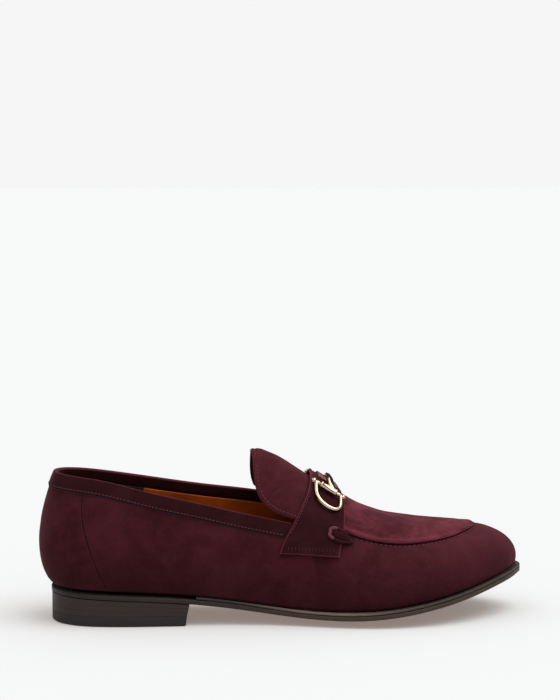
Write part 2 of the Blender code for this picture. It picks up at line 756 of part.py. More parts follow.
def tongue_edge(x, side):
    """Lowest rise of the tongue: a blunt round tip, then clear of the quarter's edge."""
    share = np.clip((x - TONGUE_TIP) / TONGUE_ROUNDING, 0.0005, 1)
    rounded = 1 - (1 - TONGUE_SIDE_RISE) * (1 - (1 - share) ** 2) ** (1 / 6)
    return np.maximum(rounded, wall_top_rise(around_at(x, side)) + TONGUE_CLEARANCE)


def make_tongue(paint):
    """The free flap behind the strap, and its lining, on a hinge across its root."""
    hinge = bpy.data.objects.new("tongue_hinge", None)
    bpy.context.scene.collection.objects.link(hinge)
    hinge.location = TONGUE_HINGE
    xs = TONGUE_TIP + (TONGUE_ROOT - TONGUE_TIP) * np.linspace(0, 1, 12) ** 2
    grid = arch_grid(xs, tongue_edge, 7)
    flap = layer(grid, 0.0, WALL_IN)
    # The lining has the same shape, a little shorter and narrower.
    inner = xs + (xs[-1] - xs) / (xs[-1] - xs[0]) * TONGUE_LINING_INSET
    grid = arch_grid(inner, lambda x, side: tongue_edge(x - TONGUE_LINING_INSET, side) + 0.012, 7)
    back = layer(grid, STIFFENER_OUT, STIFFENER_OUT - LINING)
    for shape, name, material in (
        (flap, "tongue", "burgundy_suede"), (back, "tongue_lining", "burgundy_leather")
    ):
        made = place(shape, name, paint[material], hinge)
        made.location = -Vector(TONGUE_HINGE)


def make_ties(paint, root):
    """The small leather tie on each side, from a slit in the strap over its front edge."""
    along = np.linspace(0.0250, 0.0390, 9)
    for side, name in ((LATERAL, "lateral"), (MEDIAL, "medial")):
        rise = np.linspace(0.432, 0.512, 5)
        x = np.broadcast_to(along[:, None], (len(along), len(rise)))
        grid = np.broadcast_arrays(around_at(x, side), rise)
        over = strap_lift(rise)[None] + STRAP_THICKNESS + GAP
        ahead = GAP * 2 + APRON_THICKNESS
        share = np.clip((x - 0.0362) / 0.0028, 0, 1)
        share = share * share * (3 - 2 * share)
        crown = 0.0010 * np.sin(np.pi * np.linspace(0, 1, len(along)))[:, None]
        lift = over + (ahead - over) * share + crown
        place(
            layer(grid, lift + 0.0014, lift), f"strap_tie_{name}", paint["burgundy_suede"], root
        )


# ---- snaffle ----


def strap_frame(side):
    """Where a ring's bar lies on the strap: point, direction forward, outward and down."""
    rise = SNAFFLE_RISE
    small = 1e-3
    here = form(around_at(SNAFFLE_PLACE, side), rise)
    forward = form(around_at(SNAFFLE_PLACE + small, side), rise) - here
    down = form(around_at(SNAFFLE_PLACE, side), rise - small) - here
    forward /= np.linalg.norm(forward)
    down -= forward * np.dot(down, forward)
    down /= np.linalg.norm(down)
    out = np.cross(forward, down) * side
    lift = strap_lift(rise) + STRAP_THICKNESS + SNAFFLE_HEIGHT
    return here + out * lift, forward, out, down


def tube(path, radius, sides, closed):
    """A bmesh tube along a path of points."""
    path = np.array(path, float)
    count = len(path)
    ahead, behind = np.roll(path, -1, axis=0), np.roll(path, 1, axis=0)
    if not closed:
        ahead[-1], behind[0] = path[-1], path[0]
    along = ahead - behind
    along /= np.linalg.norm(along, axis=1, keepdims=True)
    flat = np.cross(path[count // 3] - path[0], path[2 * count // 3] - path[0])
    flat /= np.linalg.norm(flat)
    across = np.cross(along, flat)
    angle = np.linspace(0, 2 * np.pi, sides, endpoint=False)
    rings = path[:, None] + radius * (
        np.cos(angle)[None, :, None] * across[:, None] + np.sin(angle)[None, :, None] * flat
    )
    shape = bmesh.new()
    points = [[shape.verts.new(p) for p in ring] for ring in rings]
    for i in range(count if closed else count - 1):
        for j in range(sides):
            a, b = points[i], points[(i + 1) % count]
            k = (j + 1) % sides
            shape.faces.new([a[j], a[k], b[k], b[j]])
    if not closed:
        shape.faces.new(points[0])
        shape.faces.new(points[-1])
    return shape


def ring_profile():
    """Radii along a ring's bar: a ball, the bar, a ball."""
    half, ball = RING_BAR_LENGTH / 2, RING_BALL
    angle = np.linspace(0, np.pi, 7)
    low = [(ball * np.sin(a), -half - ball * np.cos(a)) for a in angle[:-2]]
    low += [(RING_WIRE, -half + ball * 0.75)]
    high = [(r, -z) for r, z in low[::-1]]
    return [(0.0, low[0][1]) if r < 1e-9 else (r, z) for r, z in low] + high


def make_ring(paint, side, name):
    """One D ring on its hinge: a bar with ball ends, and a bow joined to it."""
    middle, forward, out, down = strap_frame(side)
    hinge = bpy.data.objects.new(f"{name}_hinge", None)
    bpy.context.scene.collection.objects.link(hinge)
    hinge.location = Vector(middle + forward * RING_SLIDE)
    bar_axes = Matrix((forward, np.cross(forward, down), down)).transposed()
    lean = Matrix.Rotation(np.radians(RING_LEAN) * side, 3, Vector(forward))
    # Bar: turned about its own length, which is the ring's forward direction.
    bar_turn = Matrix((np.cross(down, forward), down, forward)).transposed()
    bar = place(turned(name, ring_profile(), 12), name, paint["pale_gold"], hinge)
    bar.matrix_local = bar_turn.to_4x4()
    half = RING_BAR_LENGTH / 2 - 0.0016
    angle = np.linspace(0, np.pi, 17)
    bow = [
        (-half * np.cos(a), 0.0, RING_BOW_DEPTH * np.sin(a) ** 0.65) for a in angle
    ]
    bow_mesh = tube(bow, RING_WIRE, 8, closed=False)
    turn = lean @ bar_axes
    bmesh.ops.transform(
        bow_mesh, matrix=(bar_turn.inverted() @ turn).to_4x4(), verts=bow_mesh.verts
    )
    arm = place(bow_mesh, name + "_bow", paint["pale_gold"], hinge)
    arm.matrix_local = bar_turn.to_4x4()
    arm.hide_render = True
    arm.display_type = "WIRE"
    join = bar.modifiers.new("bow", "BOOLEAN")
    join.operation = "UNION"
    join.object = arm
    return hinge


def make_mouthpiece(paint, root):
    """The flat arched link over the strap, with an eye round each ring's bar."""
    ends = {side: strap_frame(side) for side in (LATERAL, MEDIAL)}
    share = np.linspace(0, 1, 8)
    path, outs = [], []
    for side in (LATERAL, MEDIAL):
        middle, forward, out, down = ends[side]
        rises = SNAFFLE_RISE + (1 - SNAFFLE_RISE) * share
        on_form = form(around_at(SNAFFLE_PLACE, side), rises)
        small = 1e-3
        up = form(around_at(SNAFFLE_PLACE, side), np.minimum(rises + small, 1.0)) - form(
            around_at(SNAFFLE_PLACE, side), rises - small
        )
        along = form(around_at(SNAFFLE_PLACE + small, side), rises) - on_form
        normal = np.cross(along, up) * -side
        normal /= np.linalg.norm(normal, axis=1, keepdims=True)
        lift = strap_lift(rises) + STRAP_THICKNESS + SNAFFLE_HEIGHT
        path.append(on_form + normal * lift[:, None])
        outs.append(normal)
    normal_top = outs[0][-1] + outs[1][-1]
    normal_top /= np.linalg.norm(normal_top)
    outs[0][-1] = outs[1][-1] = normal_top
    crest = (path[0][-1] + path[1][-1]) / 2
    path[0][-1] = path[1][-1] = crest
    centre = np.concatenate([path[0], path[1][-2::-1]])
    normal = np.concatenate([outs[0], outs[1][-2::-1]])
    # The link starts inside each eye's wall, where the union joins it.
    eye = RING_WIRE + EYE_CLEARANCE
    for index, side, step in ((0, LATERAL, 1), (-1, MEDIAL, -1)):
        toward = centre[index + step] - centre[index]
        toward /= np.linalg.norm(toward)
        centre[index] = centre[index] + toward * (eye + EYE_WALL * 0.45)
    forward = (ends[LATERAL][1] + ends[MEDIAL][1]) / 2
    forward /= np.linalg.norm(forward)
    half_width, half_thick = MOUTHPIECE_WIDTH / 2, MOUTHPIECE_THICKNESS / 2
    sides = forward[None] * half_width
    high = np.stack([centre - sides, centre + sides], axis=1) + normal[:, None] * half_thick
    low = np.stack([centre - sides, centre + sides], axis=1) - normal[:, None] * half_thick
    link = place(solid_between(high, low), "mouthpiece", paint["pale_gold"], root)
    for side in ends:
        middle, forward, out, down = ends[side]
        turn = Matrix((np.cross(down, forward), down, forward)).transposed().to_4x4()
        turn.translation = Vector(middle + forward * RING_SLIDE)
        half = EYE_WIDTH / 2
        wall = [(eye, -half), (eye + EYE_WALL, -half), (eye + EYE_WALL, half), (eye, half)]
        shape = bmesh.new()
        angle = np.linspace(0, 2 * np.pi, 16, endpoint=False)
        rings = [
            [shape.verts.new((r * np.cos(a), r * np.sin(a), z)) for r, z in wall] for a in angle
        ]
        for i, ring in enumerate(rings):
            after = rings[(i + 1) % len(rings)]
            for j in range(4):
                k = (j + 1) % 4
                shape.faces.new([ring[j], after[j], after[k], ring[k]])
        collar = place(shape, f"eye_{side}", paint["pale_gold"])
        collar.matrix_world = turn
        collar.parent = root
        collar.hide_render = True
        collar.display_type = "WIRE"
        join = link.modifiers.new(f"eye_{side}", "BOOLEAN")
        join.operation = "UNION"
        join.object = collar


def make_keepers(paint, root):
    """Two leather pads on the strap, under the mouthpiece, that hold it off the suede."""
    for side, name in ((LATERAL, "lateral"), (MEDIAL, "medial")):
        rise = np.linspace(0.880, 0.960, 4)
        xs = SNAFFLE_PLACE + np.linspace(-1, 1, 9) * KEEPER_LENGTH / 2
        grid = np.broadcast_arrays(around_at(xs[:, None], side), rise)
        lift = strap_lift(rise)[None] + STRAP_THICKNESS + GAP
        place(
            layer(grid, lift + KEEPER_THICKNESS, lift), f"keeper_{name}",
            paint["burgundy_leather"], root,
        )


def main():
    """Clears the scene and builds the shoe."""
    for item in list(bpy.data.objects):
        bpy.data.objects.remove(item)
    paint = materials()
    root = bpy.data.objects.new("shoe", None)
    bpy.context.scene.collection.objects.link(root)
    make_bottom(paint, root)
    make_heel(paint, root)
    make_walls(paint, root)
    make_collar(paint, root)
    make_stiffeners(paint, root)
    make_linings(paint, root)
    make_apron(paint, root)
    make_strap(paint, root)
    make_ties(paint, root)
    make_tongue(paint)
    for side, name in ((LATERAL, "snaffle_ring_lateral"), (MEDIAL, "snaffle_ring_medial")):
        make_ring(paint, side, name)
    make_mouthpiece(paint, root)
    make_keepers(paint, root)


main()
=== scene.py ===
"""Finishes the suede snaffle loafer: every piece that shows, with its stitching and materials.

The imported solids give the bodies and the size. Each visible piece is made again on the same foot
form, finer and with soft edges, and rides on the body of the solid that it stands for.
"""

import bmesh
import bpy
import numpy as np
from bpy.props import FloatProperty, FloatVectorProperty, IntProperty, PointerProperty
from mathutils import Matrix, Vector
from mathutils.kdtree import KDTree


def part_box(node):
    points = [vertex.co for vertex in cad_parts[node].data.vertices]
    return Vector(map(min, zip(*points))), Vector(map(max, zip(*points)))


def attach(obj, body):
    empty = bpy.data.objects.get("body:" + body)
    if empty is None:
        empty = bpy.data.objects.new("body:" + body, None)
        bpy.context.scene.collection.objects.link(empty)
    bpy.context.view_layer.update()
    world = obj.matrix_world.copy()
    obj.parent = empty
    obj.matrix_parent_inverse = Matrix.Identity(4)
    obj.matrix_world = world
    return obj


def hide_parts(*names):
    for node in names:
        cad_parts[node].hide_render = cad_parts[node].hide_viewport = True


bl_info = {
    "name": "Suede Snaffle Loafer",
    "version": (1, 0, 0),
    "blender": (4, 5, 0),
    "location": "View3D > Sidebar > Loafer",
    "description": "Makes the visible pieces of a suede snaffle loafer on its packed solids",
    "category": "Object",
}

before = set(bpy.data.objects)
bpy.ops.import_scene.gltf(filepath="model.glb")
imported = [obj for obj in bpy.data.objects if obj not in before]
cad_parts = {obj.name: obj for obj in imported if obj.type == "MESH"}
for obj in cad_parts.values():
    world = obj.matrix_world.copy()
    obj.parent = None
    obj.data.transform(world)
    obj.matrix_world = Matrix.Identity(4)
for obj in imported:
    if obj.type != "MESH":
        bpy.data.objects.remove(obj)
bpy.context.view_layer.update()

LATERAL, MEDIAL = -1, 1
SIDES = ((LATERAL, "lateral"), (MEDIAL, "medial"))
MM = 0.001

# ---- sizes shared with the solids ----

# Layers of the upper, from the outer face of the side wall inwards. Touching layers keep GAP.
GAP = 0.0004
SUEDE = 0.0013
STIFFENER = 0.0007
LINING = 0.0008
WALL_IN = -SUEDE
STIFFENER_OUT = WALL_IN - GAP - 0.0001
STIFFENER_IN = STIFFENER_OUT - STIFFENER
LINING_OUT = STIFFENER_IN - GAP
LINING_IN = LINING_OUT - LINING

# Layers of the bottom, measured down from the feather line, where the upper meets the welt.
BOTTOM_GAP = 0.0003
WELT = 0.0015
OUTSOLE = 0.0030
INSOLE = 0.0022
SOCK = 0.0009
HEEL_PAD = 0.0025
WELT_TOP = -BOTTOM_GAP
WELT_BOTTOM = WELT_TOP - WELT
OUTSOLE_TOP = WELT_BOTTOM - BOTTOM_GAP
OUTSOLE_BOTTOM = OUTSOLE_TOP - OUTSOLE
WELT_WIDTH = 0.0105

# Heel block.
HEEL_BREAST = -0.0590
HEEL_BREAST_SLANT = 0.0022
HEEL_EDGE = 0.0012
TOP_PIECE = 0.0065
LIFTS = 3
NAILS = 7
NAIL_RADIUS = 0.0011
NAIL_HEAD_RADIUS = 0.0022

# Upper pieces.
COLLAR_OUTSIDE = 0.0064
COLLAR_INSIDE = 0.0058
APRON_THICKNESS = 0.0012
APRON_BACK = 0.0200
APRON_LAP = 0.050
STRAP_THICKNESS = 0.0017
STRAP_FOOT_LAP = 0.0004
TONGUE_ROOT = 0.0190
TONGUE_TIP = -0.0195
TONGUE_ROUNDING = 0.0220
TONGUE_END = TONGUE_ROOT - 0.0012
TONGUE_LINING_INSET = 0.0032
TONGUE_SIDE_RISE = 0.430
TONGUE_CLEARANCE = 0.034

# Snaffle: two D rings on the ends of a mouthpiece that lies across the strap.
RING_WIRE = 0.0011
RING_BAR_LENGTH = 0.0205
RING_BOW_DEPTH = 0.0152
RING_BALL = 0.0016
EYE_CLEARANCE = 0.0003
EYE_WALL = 0.0007
EYE_WIDTH = 0.0112
MOUTHPIECE_WIDTH = 0.0046
MOUTHPIECE_THICKNESS = 0.0022
SNAFFLE_PLACE = 0.0272
RING_SLIDE = -0.0025
SNAFFLE_RISE = 0.735
SNAFFLE_HEIGHT = 0.0028
RING_LEAN = -12.0
RING_SKEW = 0.0044
KEEPER_LENGTH = 0.0134
KEEPER_THICKNESS = 0.0010


class Curve:
    """A smooth cubic curve through points, by chord length or by given knots, open or closed."""

    def __init__(self, points, knots=None, closed=False):
        p = np.array(points, float)
        if closed:
            p = np.vstack([p, p[:1]])
        if knots is None:
            steps = np.linalg.norm(np.diff(p, axis=0), axis=1)
            knots = np.concatenate([[0.0], np.cumsum(steps)]) / steps.sum()
        self.knots, self.points, self.closed = np.array(knots, float), p, closed
        count, step = len(p), np.diff(self.knots)
        rate = np.diff(p, axis=0) / step[:, None]
        weights, sums = np.zeros((count, count)), np.zeros_like(p)
        for i in range(1, count - 1):
            weights[i, i - 1 : i + 2] = step[i], 2 * (step[i - 1] + step[i]), step[i - 1]
            sums[i] = 3 * (step[i] * rate[i - 1] + step[i - 1] * rate[i])
        if closed:
            weights[0, 0], weights[0, -1] = 1, -1
            weights[-1, 0] = 2 * (step[-1] + step[0])
            weights[-1, 1], weights[-1, -2] = step[-1], step[0]
            sums[-1] = 3 * (step[-1] * rate[0] + step[0] * rate[-1])
        else:
            weights[0, :2], sums[0] = (2, 1), 3 * rate[0]
            weights[-1, -2:], sums[-1] = (1, 2), 3 * rate[-1]
        self.slopes = np.linalg.solve(weights, sums)

    def __call__(self, place):
        place = np.asarray(place, float)
        ends = self.knots[0], self.knots[-1]
        place = np.mod(place, 1.0) if self.closed else np.clip(place, *ends)
        i = np.clip(np.searchsorted(self.knots, place, side="right") - 1, 0, len(self.knots) - 2)
        step = self.knots[i + 1] - self.knots[i]
        s = ((place - self.knots[i]) / step)[..., None]
        step = step[..., None]
        found = (
            (1 + 2 * s) * (1 - s) ** 2 * self.points[i]
            + s * (1 - s) ** 2 * step * self.slopes[i]
            + s * s * (3 - 2 * s) * self.points[i + 1]
            + s * s * (s - 1) * step * self.slopes[i + 1]
        )
        return found[..., 0] if found.shape[-1] == 1 else found


def guide(*rows):
    """A smooth function of the place along the shoe, through (place, value) rows."""
    table = np.array(rows, float)
    return Curve(table[:, 1:], knots=table[:, 0])


def smooth_share(value, start, end):
    """0 before start, 1 after end, smooth between."""
    share = np.clip((value - start) / (end - start), 0, 1)
    return share * share * (3 - 2 * share)


def unit(vectors):
    """Vectors made 1 long."""
    return vectors / np.linalg.norm(vectors, axis=-1, keepdims=True)


def rounds(count):
    """Even angles of a full turn."""
    return np.linspace(0, 2 * np.pi, count, endpoint=False)


# The foot form. The outline is where the upper meets the sole, seen from above.
OUTLINE = Curve(
    [
        (-0.141, 0.000),
        (-0.137, -0.015), (-0.126, -0.025), (-0.108, -0.030), (-0.085, -0.0315),
        (-0.058, -0.0315), (-0.030, -0.032), (0.000, -0.0355), (0.028, -0.042),
        (0.050, -0.046), (0.070, -0.046), (0.090, -0.042), (0.108, -0.0345),
        (0.124, -0.024), (0.137, -0.012), (0.144, -0.001),
        (0.1465, 0.007),
        (0.1445, 0.015), (0.137, 0.026), (0.123, 0.0355), (0.105, 0.043),
        (0.085, 0.046), (0.066, 0.046), (0.045, 0.042), (0.020, 0.034),
        (-0.010, 0.028), (-0.035, 0.027), (-0.058, 0.0285), (-0.085, 0.0305),
        (-0.108, 0.0295), (-0.126, 0.0245), (-0.137, 0.0145),
    ],
    closed=True,
)
feather_height = guide(
    (-0.142, 0.0230), (-0.110, 0.0216), (-0.060, 0.0186), (-0.030, 0.0150), (0.000, 0.0110),
    (0.030, 0.0094), (0.060, 0.0110), (0.090, 0.0156), (0.115, 0.0210), (0.135, 0.0260),
    (0.147, 0.0285),
)
ridge_height = guide(
    (-0.114, 0.1210), (-0.080, 0.1180), (-0.045, 0.1130), (-0.017, 0.1037), (0.000, 0.0962),
    (0.012, 0.0888), (0.026, 0.0794), (0.042, 0.0688), (0.062, 0.0601), (0.080, 0.0570),
    (0.100, 0.0550),
)
ridge_side = guide(
    (-0.114, 0.0), (-0.050, 0.0005), (0.000, 0.002), (0.040, 0.005), (0.080, 0.007), (0.100, 0.007)
)
# The ridge is shorter than the outline, so sections fan out at both ends.
ridge_place = guide(
    (-0.1410, -0.1140), (-0.1124, -0.1035), (-0.0695, -0.0685), (0.0020, 0.0020),
    (0.0592, 0.0525), (0.1021, 0.0830), (0.1465, 0.1000),
)
fullness = guide(
    (-0.141, 2.1), (-0.060, 2.1), (0.000, 2.1), (0.050, 2.2), (0.100, 2.4), (0.147, 2.6)
)
bulge = {
    LATERAL: guide(
        (-0.141, 0.0095), (-0.120, 0.0063), (-0.080, 0.0030), (-0.030, 0.0020),
        (0.030, 0.0030), (0.070, 0.0030), (0.120, 0.0020), (0.147, 0.0015),
    ),
    MEDIAL: guide(
        (-0.141, 0.0095), (-0.120, 0.0063), (-0.080, 0.0025), (-0.030, 0.0010),
        (0.030, 0.0010), (0.070, 0.0030), (0.120, 0.0020), (0.147, 0.0015),
    ),
}
BULGE_PEAK = 0.32
SIDE_BLEND = 0.020
BEND_WEIGHT = 0.090
# Height of the top line above the ground, and rise of the apron's seam.
top_line_height = {
    LATERAL: guide(
        (-0.141, 0.0908), (-0.112, 0.0876), (-0.086, 0.0812), (-0.048, 0.0723),
        (-0.027, 0.0673), (-0.005, 0.0628), (0.010, 0.0595),
    ),
    MEDIAL: guide(
        (-0.141, 0.0908), (-0.112, 0.0868), (-0.086, 0.0830), (-0.064, 0.0798),
        (-0.048, 0.0777), (-0.017, 0.0740), (-0.005, 0.0720), (0.010, 0.0692),
    ),
}
TOP_LINE_END = 0.0100
APRON_SEAM_START = 0.036
apron_rise = guide(
    (0.010, 0.488), (0.040, 0.488), (0.065, 0.504), (0.085, 0.530), (0.105, 0.575),
    (0.122, 0.640), (0.134, 0.698), (0.142, 0.745), (0.1465, 0.788),
)
# Where the heel piece ends on the side, and the strap's edges, against rise.
heel_seam_place = guide(
    (0.0, -0.1085), (0.10, -0.1150), (0.18, -0.1190), (0.27, -0.1223), (0.40, -0.1236),
    (0.65, -0.1250),
)
strap_back = guide(
    (0.20, -0.0055), (0.28, -0.0022), (0.36, 0.0020), (0.45, 0.0064), (0.60, 0.0120), (1.00, 0.0160)
)
strap_front = guide((0.20, 0.0315), (0.33, 0.0322), (0.45, 0.0345), (0.60, 0.0360), (1.00, 0.0372))
strap_foot_rise = guide((0.0, 0.232), (1.0, 0.302))

_near = np.linspace(-0.02, 0.02, 2001)
HEEL = _near[np.argmin(OUTLINE(_near)[:, 0])]
_fine = HEEL + np.linspace(0.0, 1.0, 4001)
_fine_x = OUTLINE(_fine)[:, 0]
TOE = _fine[np.argmax(_fine_x)]
HEEL_END, TOE_END = _fine_x[0], _fine_x.max()


def around_at(x, side):
    """The place along the outline that lies at length x on one side."""
    half = _fine <= TOE if side == LATERAL else _fine >= TOE
    xs, places = _fine_x[half], _fine[half]
    if side == MEDIAL:
        xs, places = xs[::-1], places[::-1]
    return np.interp(x, xs, places)


def even_steps(start, end, count):
    """Places between two places, closer together where the outline bends."""
    line = np.linspace(start, end, 1201)
    step = np.diff(OUTLINE(line), axis=0)
    length = np.linalg.norm(step, axis=1)
    heading = np.unwrap(np.arctan2(step[:, 1], step[:, 0]))
    bend = np.abs(np.diff(heading, prepend=heading[0]))
    measure = np.concatenate([[0.0], np.cumsum(length + BEND_WEIGHT * bend)])
    return np.interp(np.linspace(0, measure[-1], count), measure, line)


def outline_frame(around):
    """Point of the outline and its outward direction in plan."""
    small = 1e-4
    along = OUTLINE(around + small) - OUTLINE(around - small)
    return OUTLINE(around), unit(np.stack([along[..., 1], -along[..., 0]], -1))


def medial_share(y):
    """0 on the lateral side, 1 on the medial side, smooth across the heel and the toe."""
    return smooth_share(y, -SIDE_BLEND, SIDE_BLEND)


def form(around, rise):
    """Points on the outer face of the side wall."""
    around, rise = np.broadcast_arrays(np.asarray(around, float), np.asarray(rise, float))
    foot, out = outline_frame(around)
    x, share = foot[..., 0], medial_share(foot[..., 1])
    top = ridge_place(x)
    crest = np.stack([top, ridge_side(top)], -1)
    power = 2 / fullness(x)
    up = np.sin(np.pi / 2 * rise) ** power
    inward = 1 - np.cos(np.pi / 2 * rise) ** power
    swell = (bulge[LATERAL](x) * (1 - share) + bulge[MEDIAL](x) * share) * np.sin(
        np.pi * up ** (np.log(0.5) / np.log(BULGE_PEAK))
    )
    plan = foot + (crest - foot) * inward[..., None] + out * swell[..., None]
    low = feather_height(x)
    return np.concatenate([plan, (low + (ridge_height(top) - low) * up)[..., None]], -1)


def rise_at_height(around, z):
    """The rise at which the form reaches a height."""
    x = OUTLINE(around)[..., 0]
    low = feather_height(x)
    up = np.clip((z - low) / (ridge_height(ridge_place(x)) - low), 0, 1)
    return 2 / np.pi * np.arcsin(up ** (fullness(x) / 2))


def top_line_rise(around):
    """Rise of the opening's edge, as far forward as the strap."""
    foot = OUTLINE(around)
    x, share = np.minimum(foot[..., 0], TOP_LINE_END), medial_share(foot[..., 1])
    z = top_line_height[LATERAL](x) * (1 - share) + top_line_height[MEDIAL](x) * share
    return rise_at_height(around, z)


def wall_top_rise(around):
    """Upper edge of the side wall: the top line, then under the strap to the apron's lap."""
    x = OUTLINE(around)[..., 0]
    apron_edge = apron_rise(x) + APRON_LAP
    share = smooth_share(x, TOP_LINE_END, APRON_SEAM_START)
    return top_line_rise(around) * (1 - share) + apron_edge * share


def rise_step(around, rise, distance):
    """The rise reached by going down the wall by a distance."""
    small = 1e-3
    length = np.linalg.norm(form(around, rise) - form(around, rise - small), axis=-1) / small
    return rise - distance / length


def round_toe(start, count):
    """Places from one length on the lateral side round the toe to the same on the medial side."""
    return even_steps(around_at(start, LATERAL), around_at(start, MEDIAL), count)


def round_heel(start, count):
    """Places from one length on the medial side round the heel to the same on the lateral side."""
    return even_steps(around_at(start, MEDIAL), 1 + around_at(start, LATERAL), count)


def outward(around, rise):
    """Unit normals of the form."""
    rise = np.clip(rise, 0.004, 0.996)
    small = 1e-4
    across = form(around + small, rise) - form(around - small, rise)
    up = form(around, rise + small) - form(around, rise - small)
    return unit(np.cross(across, up))


def across_ridge(lateral, medial):
    """One grid over the ridge from two that each end on it."""
    return [
        np.concatenate([first, second[:, -2::-1]], axis=1)
        for first, second in zip(np.broadcast_arrays(*lateral), np.broadcast_arrays(*medial))
    ]


tread_dip = guide(
    (-0.141, 0.0), (-0.060, 0.0), (-0.035, 0.0016), (0.000, 0.0040), (0.030, 0.0050),
    (0.055, 0.0052), (0.075, 0.0044), (0.100, 0.0028), (0.125, 0.0012), (0.1464, 0.0),
)
sole_margin = guide(
    (-0.142, HEEL_EDGE), (-0.060, HEEL_EDGE), (-0.030, 0.0010), (0.000, 0.0018),
    (0.030, 0.0034), (0.070, 0.0040), (0.147, 0.0036),
)


def bottom_grid(grow, end, columns, shares, closed_end=True):
    """Plan points inside the outline grown by grow(x), from the heel's end: a column across the
    shoe for each length, and rows at the given shares of the width."""
    phase = np.linspace(0, 1, columns)
    # A closed end is sampled more finely, because the outline turns sharply there.
    ease = np.where(phase < 0.5, 1.0, float(closed_end)) * np.sin(2 * np.pi * phase)
    xs = HEEL_END + (end - HEEL_END) * (phase - ease / (2 * np.pi))
    edges = []
    for side in (LATERAL, MEDIAL):
        foot, out = outline_frame(around_at(xs, side))
        edges.append(foot + out * np.asarray(grow(xs))[:, None])
    share = np.asarray(shares)[None, :, None]
    return edges[0][:, None] * (1 - share) + edges[1][:, None] * share


def bottom_height(plan, level):
    """Height of a bottom layer: the feather line plus its level, less the sag in the middle."""
    x, y = plan[..., 0], plan[..., 1]
    lateral, medial = (OUTLINE(around_at(x, side))[..., 1] for side in (LATERAL, MEDIAL))
    half = np.maximum((medial - lateral) / 2, 1e-4)
    across = np.clip((y - (medial + lateral) / 2) / half, -1, 1)
    sag = (1 - across**2) * np.clip(half / 0.015, 0, 1)
    return feather_height(x) + level - tread_dip(x) * sag


def raised(plan, level):
    """Plan points at their heights in the bottom."""
    return np.concatenate([plan, bottom_height(plan, level)[..., None]], -1)


def heel_level(plan, share):
    """Height in the heel, from the top piece's upper face at 0 to the sole's underside at 1."""
    seat = feather_height(plan[..., 0]) + OUTSOLE_BOTTOM - BOTTOM_GAP
    return TOP_PIECE + (seat - TOP_PIECE) * share


def strap_lift(rise):
    """How high the strap lies: down on the wall at its feet, over the apron above its seam."""
    share = smooth_share(rise, 0.40, 0.50)
    return STRAP_FOOT_LAP + (GAP * 2 + APRON_THICKNESS - STRAP_FOOT_LAP) * share


def strap_frame(side):
    """Where a ring's bar lies on the strap: point, direction forward and direction down."""
    rise = SNAFFLE_RISE
    small = 1e-3
    here = form(around_at(SNAFFLE_PLACE, side), rise)
    forward = form(around_at(SNAFFLE_PLACE + small, side), rise) - here
    down = form(around_at(SNAFFLE_PLACE, side), rise - small) - here
    forward = unit(forward)
    down = unit(down - forward * np.dot(down, forward))
    out = np.cross(forward, down) * side
    lift = strap_lift(rise) + STRAP_THICKNESS + SNAFFLE_HEIGHT
    return here + out * lift, forward, down


# ---- settings that a user may change ----


class LoaferSizes(bpy.types.PropertyGroup):
    """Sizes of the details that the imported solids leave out."""

    edge_radius: FloatProperty(
        name="Edge radius", description="Rounding of the cut and folded suede edges",
        default=0.0009, min=0.0002, max=0.003, precision=5, unit="LENGTH",
    )
    lip_height: FloatProperty(
        name="Apron lip", description="How far the apron's sewn lip stands up",
        default=0.0007, min=0.0, max=0.002, precision=5, unit="LENGTH",
    )
    stitch_length: FloatProperty(
        name="Stitch length", description="Length of one stitch that shows",
        default=0.0016, min=0.0005, max=0.005, precision=5, unit="LENGTH",
    )
    stitch_pitch: FloatProperty(
        name="Stitch pitch", description="Distance from one stitch to the next",
        default=0.0025, min=0.0008, max=0.008, precision=5, unit="LENGTH",
    )
    thread_radius: FloatProperty(
        name="Thread radius", description="Half the thickness of the sewing thread",
        default=0.00027, min=0.0001, max=0.001, precision=5, unit="LENGTH",
    )
    columns: IntProperty(
        name="Columns", description="Grid columns of the side wall, round the toe",
        default=230, min=60, max=600,
    )


def colour(name, description, value):
    """A colour setting."""
    return FloatVectorProperty(
        name=name, description=description, default=value, min=0.0, max=1.0,
        size=3, subtype="COLOR",
    )


class LoaferColours(bpy.types.PropertyGroup):
    """Colours of the finishes, linear."""

    suede: colour("Suede", "Burgundy suede, in the middle of its range", (0.041, 0.0056, 0.0082))
    suede_nap: colour("Suede nap", "Suede brushed up, which looks lighter", (0.080, 0.0135, 0.0200))
    trim: colour("Trim", "Burgundy smooth leather of the keepers", (0.120, 0.034, 0.028))
    lining: colour("Lining", "Tan lining leather", (0.27, 0.048, 0.0030))
    dark_lining: colour("Dark lining", "Dark suede lining of the heel", (0.020, 0.008, 0.007))
    sole_edge: colour("Sole edge", "Dressed edge of the outsole", (0.040, 0.0225, 0.0150))
    heel_stack: colour("Heel stack", "Dressed edge of the heel lifts", (0.0215, 0.0138, 0.0116))
    welt: colour("Welt", "Welt leather", (0.100, 0.072, 0.055))
    rubber: colour("Rubber", "Heel top piece", (0.0150, 0.0100, 0.0092))
    metal: colour("Metal", "Pale gold of the snaffle", (0.60, 0.45, 0.305))
    thread: colour("Thread", "Sewing thread", (0.105, 0.034, 0.040))
    floor: colour("Floor", "Studio floor", (0.403, 0.436, 0.452))


# ---- materials ----


